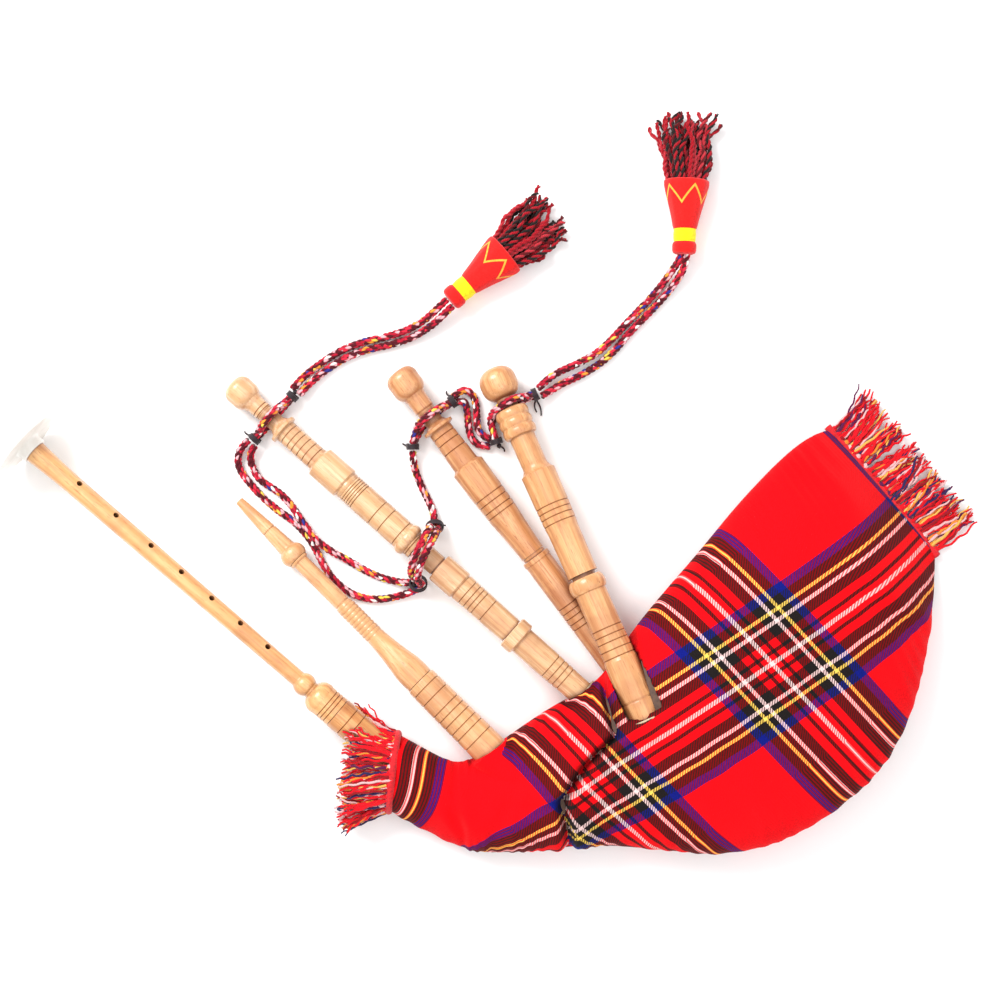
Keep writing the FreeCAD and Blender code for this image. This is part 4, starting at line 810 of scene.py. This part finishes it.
def cover_surface(rows, columns):
    """Each section is an oval: middle + half width cos t + upward (0.8 b + b sin t), flat where it
    would pass under the floor. Folds move its points along the oval's outward direction."""
    places = np.linspace(0.0, 10.0, rows)
    turn = np.linspace(0.0, 2 * np.pi, columns, endpoint=False)
    middle, across, tall = section_frames(places)
    wide = np.linalg.norm(across, axis=1, keepdims=True)
    hat = across / wide
    side = np.cos(turn)[None] * wide
    flat = middle[:, None] + side[..., None] * hat[:, None]
    z = tall[:, None] * (0.8 + np.sin(turn)[None])
    points = np.concatenate([flat, z[..., None]], axis=2)
    out_side = np.cos(turn)[None] / wide
    out_up = np.sin(turn)[None] / tall[:, None]
    size = np.sqrt(out_side ** 2 + out_up ** 2)
    outward = np.concatenate(
        [(out_side / size)[..., None] * hat[:, None], (out_up / size)[..., None]], axis=2)
    place = np.broadcast_to(places[:, None], side.shape)
    up = np.clip(np.sin(turn)[None], 0.0, 1.0) ** 0.5
    x, y = flat[..., 0], flat[..., 1]
    dip = fold((x - np.interp(y, CREASE_Y, CREASE_X)) * 0.8, 0.0096, 0.0034) * up
    dip += fold((place - 0.95) * 0.030 + 0.003 * np.sin(side * 90.0), 0.0028, 0.0036) * up
    dip += fold((place - 2.1) * 0.030 - side * 0.35, 0.0018, 0.0060) * up * np.clip(side * -40 + 0.6, 0, 1)
    dip += 0.0016 * np.sin(x * 61 + 1.3 * np.sin(y * 43)) * np.sin(y * 49 + 0.8) * up
    dip += 0.0008 * np.sin(x * 150 + y * 110 + 2.0 * np.sin(y * 60)) * up
    rim = np.abs(np.cos(turn))[None] ** 3
    dip += 0.0011 * rim * np.sin(place * 26.0 + 2.0 * np.sin(place * 5.0)) * up
    dip += (fold((side + 0.018 + 0.05 * (place - 3.2) * 0.2), 0.0022, 0.0060) * up
            * smooth((place - 1.6) / 1.0) * smooth((4.0 - place) / 0.6))
    dip += (fold((y - 0.45 * (x - 0.09) + 0.070) * 0.9, 0.0022, 0.0050) * up
            * smooth((0.17 - x) / 0.06) * smooth((x - 0.06) / 0.03))
    dip += (fold((x + 0.030 + 0.35 * (y + 0.137)) * 0.8, 0.0042, 0.0032) * up
            * np.exp(-((y + 0.1365) / 0.0105) ** 2))
    fade = np.clip((10.0 - place) / 0.6, 0.0, 1.0)
    points = points - outward * (dip * fade)[..., None]
    top = np.sin(turn)[None] > 0.02
    for pipe, start, stop, radius in TENTS:
        run, off, axis_z = beside(pipe, points)
        ease = smooth((run - start * MM) / 0.005) * smooth((stop * MM - run) / 0.012)
        cap = axis_z + np.sqrt(np.maximum((radius * MM) ** 2 - off ** 2, 0.0)) - 0.016 * (1 - ease)
        covers = top & (off < radius * MM) & (ease > 0)
        points[..., 2] = np.where(covers, np.maximum(points[..., 2], cap), points[..., 2])
    pipe, start, stop, radius = SLIT
    run, off, axis_z = beside(pipe, points)
    wall = axis_z - 0.001 + 14.0 * np.maximum(off - radius * MM, 0.0) + 8.0 * np.maximum(run - stop * MM, 0.0)
    wall = wall + 3.0 * np.maximum(start * MM - run, 0.0)
    points[..., 2] = np.where(top, np.minimum(points[..., 2], wall), points[..., 2])
    points[..., 2] = np.maximum(points[..., 2], 0.0004)
    slope = np.sqrt((wide * np.sin(turn)[None]) ** 2 + (tall[:, None] * np.cos(turn)[None]) ** 2)
    arc = np.concatenate([np.zeros((rows, 1)), np.cumsum(slope, axis=1)[:, :-1]], axis=1)
    arc = arc * (turn[1] - turn[0])
    crown = arc[:, columns // 4:columns // 4 + 1]
    half = columns // 2
    arc = np.where(np.arange(columns)[None] > half, 2 * arc[:, half:half + 1] - arc, arc)
    cloth = middle[:, None] + (crown - arc)[..., None] * hat[:, None]
    return points, cloth, place


def cover():
    rows, columns = 300, 256
    points, cloth, place = cover_surface(rows, columns)
    quads, corners = grid_faces(rows, columns)
    row, column = corners[..., 0], corners[..., 1]
    flat = cloth[row, column % columns]
    home = np.array([182.3, -31.4]) * MM
    lean_a, lean_b = math.radians(43.0), math.radians(-56.0)
    bag_a = (flat - home) @ np.array([math.cos(lean_a), math.sin(lean_a)]) / HALF
    bag_b = (flat - home) @ np.array([math.cos(lean_b), math.sin(lean_b)]) / HALF
    bag_a = bag_a - 0.034 / HALF * smooth((bag_a * HALF - 0.055) / 0.085)
    neck_a = (flat @ np.array([0.92, -0.39]) + 0.0331) / HALF
    neck_a += 0.06 * np.sin(flat[..., 1] * 60.0)
    plan = points[row, column % columns][..., :2].mean(axis=1)
    on_neck = (plan[:, 0] < np.interp(plan[:, 1], CREASE_Y, CREASE_X))[:, None]
    far_neck = np.maximum(bag_a - 15.0 * MM / HALF, -3.0)
    neck_b = np.maximum(bag_b - 37.5 * MM / HALF, -1.0)
    near_hem = (plan @ np.array([0.92, -0.39]) + 0.0331 < HALF)[:, None]
    uv = np.stack([np.where(on_neck, np.where(near_hem, np.minimum(neck_a, 1.0), far_neck), bag_a),
                   np.where(on_neck, np.where(near_hem, 1.0, neck_b), np.clip(bag_b, -1.0, 1.0))], axis=-1)
    ends = [list(range(columns))[::-1], [(rows - 1) * columns + i for i in range(columns)]]
    uv = np.concatenate([uv.reshape(-1, 2), np.ones((2 * columns, 2))])
    piece = mesh_piece("bag_cover_cloth", points.reshape(-1, 3), quads.tolist() + ends, tartan(), "bag", uv)
    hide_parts("bag_cover")
    return piece


cover()

# ---- fringes ----


def fringe_strands(roots, headings, rises, length, seed, droop, floor, lift):
    """Wavy strands in bundles. Each starts at a root and runs along its heading: root + heading t +
    upward (rise t - droop t squared), with side waves that grow along it."""
    random = np.random.default_rng(seed)
    count, per, stations = len(roots), 9, 15
    share = np.linspace(0.0, 1.0, stations)
    roots = np.repeat(roots, per, axis=0)
    headings = np.repeat(headings, per, axis=0)
    rises = np.repeat(rises, per)
    total = count * per
    lengths = length * random.uniform(0.78, 1.04, total)
    spread = np.repeat(random.normal(0.0, 0.07, count), per) + random.normal(0.0, 0.075, total)
    cos, sin = np.cos(spread), np.sin(spread)
    plan = np.stack([headings[:, 0] * cos - headings[:, 1] * sin,
                     headings[:, 0] * sin + headings[:, 1] * cos, np.zeros(total)], axis=1)
    side = np.stack([-plan[:, 1], plan[:, 0], np.zeros(total)], axis=1)
    jitter = random.normal(0.0, 0.00065, (total, 3))
    run = share[None] * lengths[:, None]
    phase = random.uniform(0, 2 * np.pi, total)[:, None]
    waves = random.uniform(2.2, 4.4, total)[:, None]
    swing = random.uniform(0.0004, 0.0013, total)[:, None]
    wave = swing * np.sin(phase + waves * 2 * np.pi * share[None]) * np.sqrt(share)[None]
    bend = np.repeat(random.normal(0.0, 0.0035, count), per) + random.normal(0.0, 0.0015, total)
    bend = bend[:, None] * share[None] ** 2
    paths = ((roots + jitter)[:, None] + run[..., None] * plan[:, None]
             + (wave + bend)[..., None] * side[:, None])
    paths[..., 2] += (rises[:, None] * run - droop * run ** 2
                      + random.uniform(0, lift, total)[:, None] * share[None])
    paths[..., 2] += 0.5 * swing * np.cos(phase + waves * 2 * np.pi * share[None])
    paths[..., 2] = np.maximum(paths[..., 2], floor + random.uniform(0, 0.0012, total)[:, None])
    radii = 0.00088 * (1.0 - 0.35 * share[None] ** 3) * random.uniform(0.8, 1.25, total)[:, None]
    return tubes(paths, radii, 5, np.arange(total) * 3.0 + 1.0)


def fringe_knots(roots, headings, mark):
    """A small round knot where each bundle leaves its hem."""
    share = np.linspace(0.0, 1.0, 7)
    paths = roots[:, None] + headings[:, None] * ((share - 0.3) * 0.0055)[None, :, None]
    radii = 0.0022 * np.sqrt(np.sin(np.pi * (0.08 + 0.84 * share)))[None]
    return tubes(paths, radii, 8, mark + np.arange(len(roots)) * 3.0)


FRINGE_WOOL = wool("fringe_wool", FRINGE_YARNS, 0.02, 900.0, 0.35, whole=True)
HEM = plain("hem_cloth", (0.70, 0.006, 0.012), (0.42, 0.004, 0.010), 700.0, 0.5,
            {"Roughness": 0.9, "Sheen Weight": 0.15})


def end_fringe():
    """The fringe of the far seam, laid on the surface, and the hem over its roots."""
    first, last = np.array([232.6, 127.0]) * MM, np.array([306.2, 40.4]) * MM
    share = (np.arange(27) + 0.5) / 27
    roots = np.concatenate([first + (last - first) * share[:, None], np.full((27, 1), 0.0042)], axis=1)
    heading = np.stack([0.70 + 0.16 * share, 0.71 - 0.24 * share, np.zeros(27)], axis=1)
    heading /= np.linalg.norm(heading, axis=1, keepdims=True)
    strands = fringe_strands(roots, heading, np.zeros(27), 0.0375, 5, 1.2, 0.0009, 0.003)
    knots = fringe_knots(roots, heading, 1.0)
    piece = mesh_piece("end_fringe_wool", *swap(joined([strands, knots]), FRINGE_WOOL, "bag"))
    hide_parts("end_fringe")
    line = np.concatenate([first + (last - first) * np.linspace(-0.02, 1.02, 60)[:, None],
                           np.full((60, 1), 0.0040)], axis=1)
    line[:, :2] -= np.array([0.79, 0.61]) * 0.001
    line[:, 2] += 0.0004 * np.sin(np.arange(60) * 0.9)
    hem = mesh_piece("end_hem", *swap(tubes(line[None], 0.0027, 14, [1.0]), HEM, "bag"))


def swap(parts, material, body):
    """Points, faces and UV in the order that mesh_piece takes them."""
    points, faces, uv = parts
    return points, faces, material, body, uv


def neck_fringe():
    """The fringe round the neck's open end, and the rolled hem over its roots."""
    middle, across, tall = section_frames(np.array([0.0]))
    count = 40
    turn = (np.arange(count) + 0.5) * 2 * np.pi / count
    flat = middle[0] + across[0] * np.cos(turn)[:, None]
    height = tall[0] * (0.8 + np.sin(turn))
    roots = np.concatenate([flat, np.maximum(height, 0.002)[:, None]], axis=1)
    fan = np.cos(turn)
    heading = np.stack([-0.93 - 0.0 * fan, 0.10 + 0.34 * fan, np.zeros(count)], axis=1)
    heading /= np.linalg.norm(heading, axis=1, keepdims=True)
    strands = fringe_strands(roots, heading, 0.10 * np.sin(turn), 0.036, 11, 3.2, 0.0009, 0.003)
    knots = fringe_knots(roots, heading, 1.0)
    piece = mesh_piece("neck_fringe_wool", *swap(joined([strands, knots]), FRINGE_WOOL, "bag"))
    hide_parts("neck_fringe")
    turn = np.linspace(0, 2 * np.pi, 120)
    flat = middle[0] + across[0] * 1.01 * np.cos(turn)[:, None]
    height = np.maximum(tall[0] * (0.8 + 1.01 * np.sin(turn)), 0.0028)
    line = np.concatenate([flat, height[:, None]], axis=1)
    hem = mesh_piece("neck_hem", *swap(tubes(line[None], 0.0026, 12, [1.0]), HEM, "bag"))


end_fringe()
neck_fringe()

# ---- tassels ----

TASSELS = {"tassel_left": ((-33.0, 215.0), 40.0, 44.0), "tassel_right": ((129.4, 247.0), 88.0, 90.0)}
HEAD_OUTLINE = [(0.0, 0.0), (0.0, 4.4), (0.4, 6.6), (1.2, 7.8), (2.4, 8.3), (5.6, 8.4), (7.2, 8.3),
                (8.2, 7.6), (8.6, 7.3), (10.4, 7.7), (14.0, 7.9), (17.2, 7.6), (17.8, 8.0), (20.0, 8.7),
                (26.0, 9.7), (34.0, 10.9), (42.0, 12.0), (48.0, 12.7), (50.6, 12.6), (51.6, 11.6),
                (51.0, 8.5), (50.0, 0.0)]
CAP = tassel_cap_material()
SKIRT = wool("tassel_wool", SKIRT_YARNS, 0.005, 700.0, 0.6, whole=True)


def tassel(name, neck, head_turn, skirt_turn, seed):
    """Cap: an outline turned about a level axis. Skirt: twisted strands that start round the cap's
    end, spread sideways and sink to the surface."""
    turn = math.radians(head_turn)
    along = np.array([math.cos(turn), math.sin(turn), 0.0])
    side = np.array([-math.sin(turn), math.cos(turn), 0.0])
    up = np.array([0.0, 0.0, 1.0])
    base = np.array([neck[0], neck[1], 13.2]) * MM
    outline = np.array(HEAD_OUTLINE) * MM
    reach = np.concatenate([[0.0], np.cumsum(np.linalg.norm(np.diff(outline, axis=0), axis=1))])
    fine = np.linspace(0.0, reach[-1], 90)
    run, radius = (np.interp(fine, reach, outline[:, i]) for i in (0, 1))
    sides = 64
    angle = np.arange(sides) * 2 * np.pi / sides
    pleat = 1.0 + 0.012 * np.sin(angle * 11)[None] * np.clip((run[:, None] - 0.018) / 0.01, 0, 1)
    ring = radius[:, None] * pleat
    flare = 1.0 + 0.24 * smooth((run - 0.018) / 0.034)[:, None]
    points = (base + run[:, None, None] * along + (ring * flare * np.cos(angle))[..., None] * side
              + (ring * np.sin(angle))[..., None] * up)
    quads, corners = grid_faces(len(run), sides)
    share = run[corners[..., 0]] / 0.052
    uv = np.stack([share, corners[..., 1] / sides], axis=-1).reshape(-1, 2)
    quads = quads[:, ::-1]
    uv = uv.reshape(-1, 4, 2)[:, ::-1].reshape(-1, 2)
    head = mesh_piece(name + "_cap", points.reshape(-1, 3), quads.tolist(), CAP, "bag", uv)
    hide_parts(name + "_head")

    random = np.random.default_rng(seed)
    fan = math.radians(skirt_turn)
    heading = np.array([math.cos(fan), math.sin(fan), 0.0])
    strands, stations = 38, 34
    share = np.linspace(0.0, 1.0, stations)
    around = np.arange(strands) * 2 * np.pi * 0.381966 + 0.3
    depth = np.sqrt((np.arange(strands) + 1.0) / strands)
    lengths = random.uniform(0.68, 1.0, strands) * 0.050
    wide = 0.0135 + 0.0095 * share ** 0.9
    tall = 0.0102 - 0.0052 * share
    lateral = (depth * np.cos(around))[:, None] * wide[None]
    lateral += random.uniform(0.0015, 0.0052, strands)[:, None] * np.sin(
        random.uniform(0, 6.28, strands)[:, None]
        + share[None] * random.uniform(4, 9, strands)[:, None]) * share
    lateral += 0.0011 * share * np.sin(
        random.uniform(0, 6.28, strands)[:, None] + share[None] * random.uniform(13, 21, strands)[:, None])
    rise = (depth * np.sin(around))[:, None] * tall[None]
    centre = 0.0132 - 0.0062 * share ** 0.7
    direction = along[None] * (1 - share[:, None]) + heading[None] * share[:, None]
    start = base + along * 0.0500
    start[2] = 0.0
    line = start + direction[None] * (share[None] * lengths[:, None])[..., None]
    line = line + lateral[..., None] * side + (rise + centre[None])[..., None] * up
    line[..., 2] = np.maximum(line[..., 2], 0.0019)
    phase = random.uniform(0, 6.28, strands)[:, None]
    angle = phase + share[None] * lengths[:, None] * 2 * np.pi / 0.0078
    paths, radii = [], []
    for half in (0.0, np.pi):
        paths.append(line + 0.00085 * (np.cos(angle + half)[..., None] * side
                                       + np.sin(angle + half)[..., None] * up))
        radii.append(np.broadcast_to(0.00098 * (1 - 0.25 * share[None] ** 6), (strands, stations)))
    parts = tubes(np.concatenate(paths), np.concatenate(radii), 7, np.arange(2 * strands) * 3.0 + 1.0)
    parts[0][:, 2] = np.maximum(parts[0][:, 2], 0.0003)
    skirt = mesh_piece(name + "_strands", *swap(parts, SKIRT, "bag"))
    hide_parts(name + "_skirt")
    return head, skirt


tassels = {name: tassel(name, *facts, 3 + i) for i, (name, facts) in enumerate(TASSELS.items())}

# ---- wood and the other finishes on the turned pieces ----

BASS_WOOD = wood("bass_wood", "bass", (0.88, 0.60, 0.36), (0.74, 0.42, 0.20), (0.42, 0.17, 0.08), 0.1)
LEFT_WOOD = wood("tenor_left_wood", "tenor_left",
    (0.80, 0.43, 0.20), (0.62, 0.26, 0.10), (0.32, 0.10, 0.04), 0.7)
RIGHT_WOOD = wood("tenor_right_wood", "tenor_right",
    (0.86, 0.48, 0.22), (0.70, 0.33, 0.13), (0.38, 0.13, 0.05), 1.3)
BLOW_WOOD = wood("blowpipe_wood", "blowpipe", (0.92, 0.55, 0.28), (0.78, 0.40, 0.17), (0.42, 0.16, 0.07), 1.9)
CHANTER_WOOD = wood("chanter_wood", "chanter",
    (0.92, 0.55, 0.24), (0.80, 0.40, 0.15), (0.42, 0.15, 0.06), 2.5)
STOCK_WOOD = wood("chanter_stock_wood", "chanter",
    (0.80, 0.42, 0.16), (0.62, 0.25, 0.08), (0.30, 0.09, 0.03), 3.1)
REED = plain("reed_cane", (0.72, 0.55, 0.25), (0.50, 0.34, 0.12), 400.0, 0.3, {"Roughness": 0.5})
FINISHES = {
    "bass_stock": BASS_WOOD, "bass_top": BASS_WOOD, "bass_bottom": BASS_WOOD,
    "tenor_left_stock": LEFT_WOOD, "tenor_left_top": LEFT_WOOD, "tenor_left_bottom": LEFT_WOOD,
    "tenor_right_stock": RIGHT_WOOD, "tenor_right_top": RIGHT_WOOD, "tenor_right_bottom": RIGHT_WOOD,
    "blowpipe_stock": BLOW_WOOD, "blowpipe": BLOW_WOOD, "mouthpiece": BLOW_WOOD,
    "chanter": CHANTER_WOOD, "chanter_stock": STOCK_WOOD,
    "chanter_sole": plain("white_plastic", (0.86, 0.84, 0.80), (0.74, 0.71, 0.66), 90.0, 0.08,
                          {"Roughness": 0.32, "IOR": 1.5, "Coat Weight": 0.2}),
    "bass_hemp": wound("bass_hemp", (0.55, 0.40, 0.20), (0.28, 0.18, 0.08), "bass", 0.0007),
    "tenor_left_hemp": wound("tenor_left_hemp", (0.55, 0.40, 0.20), (0.28, 0.18, 0.08), "tenor_left", 0.0007),
    "tenor_right_hemp": wound(
        "tenor_right_hemp", (0.55, 0.40, 0.20), (0.28, 0.18, 0.08), "tenor_right", 0.0007),
    "blowpipe_hemp": wound("blowpipe_hemp", (0.55, 0.40, 0.20), (0.28, 0.18, 0.08), "blowpipe", 0.0007),
    "chanter_hemp": wound("chanter_hemp", (0.55, 0.40, 0.20), (0.28, 0.18, 0.08), "chanter", 0.0007),
    "bass_reed": REED, "tenor_left_reed": REED, "tenor_right_reed": REED, "chanter_reed": REED,
    "stock_bindings": plain(
        "waxed_thread", (0.60, 0.50, 0.34), (0.36, 0.28, 0.16), 800.0, 0.5, {"Roughness": 0.6}),
    "air_bag": plain(
        "bag_leather", (0.10, 0.045, 0.022), (0.05, 0.022, 0.012), 260.0, 0.5, {"Roughness": 0.6}),
    "valve_seat": plain("valve_seat", (0.10, 0.10, 0.10), (0.05, 0.05, 0.05), 200.0, 0.2, {"Roughness": 0.5}),
    "valve_flap": plain(
        "valve_rubber", (0.05, 0.05, 0.05), (0.02, 0.02, 0.02), 300.0, 0.3, {"Roughness": 0.6}),
}
for node, finish in FINISHES.items():
    if node in NODES:
        paint_node(node, finish)

# ---- what the cords are ----

BLENDS = {
    "left_tassel_cord_a": ((-107, 176, 3), (-136, 153, 6)),
    "left_tassel_cord_b": ((-110, 181, 3), (-140, 157, 6)),
    "outer_strand": ((-172, 88, 3), (-175, 114, 5)), "inner_strand": ((-165, 90, 4), (-171, 113, 6)),
    "middle_cord": ((-52, 85, 3), (-58.6, 109, 6)),
    "hank_strand_a": ((-20.4, 134.6, 3), (-25.5, 145.8, 7)),
    "hank_strand_b": ((-15.8, 148.8, 3), (-28, 151, 6)),
    "right_tassel_cord_a": ((51, 170, 3), (33, 158, 5)),
    "right_tassel_cord_b": ((53, 161.5, 3), (36, 152.4, 5)),
}
for name, (body, moving, points) in ROUTES.items():
    line, length = lines[name]
    if name in BLENDS:
        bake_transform(cords[name])
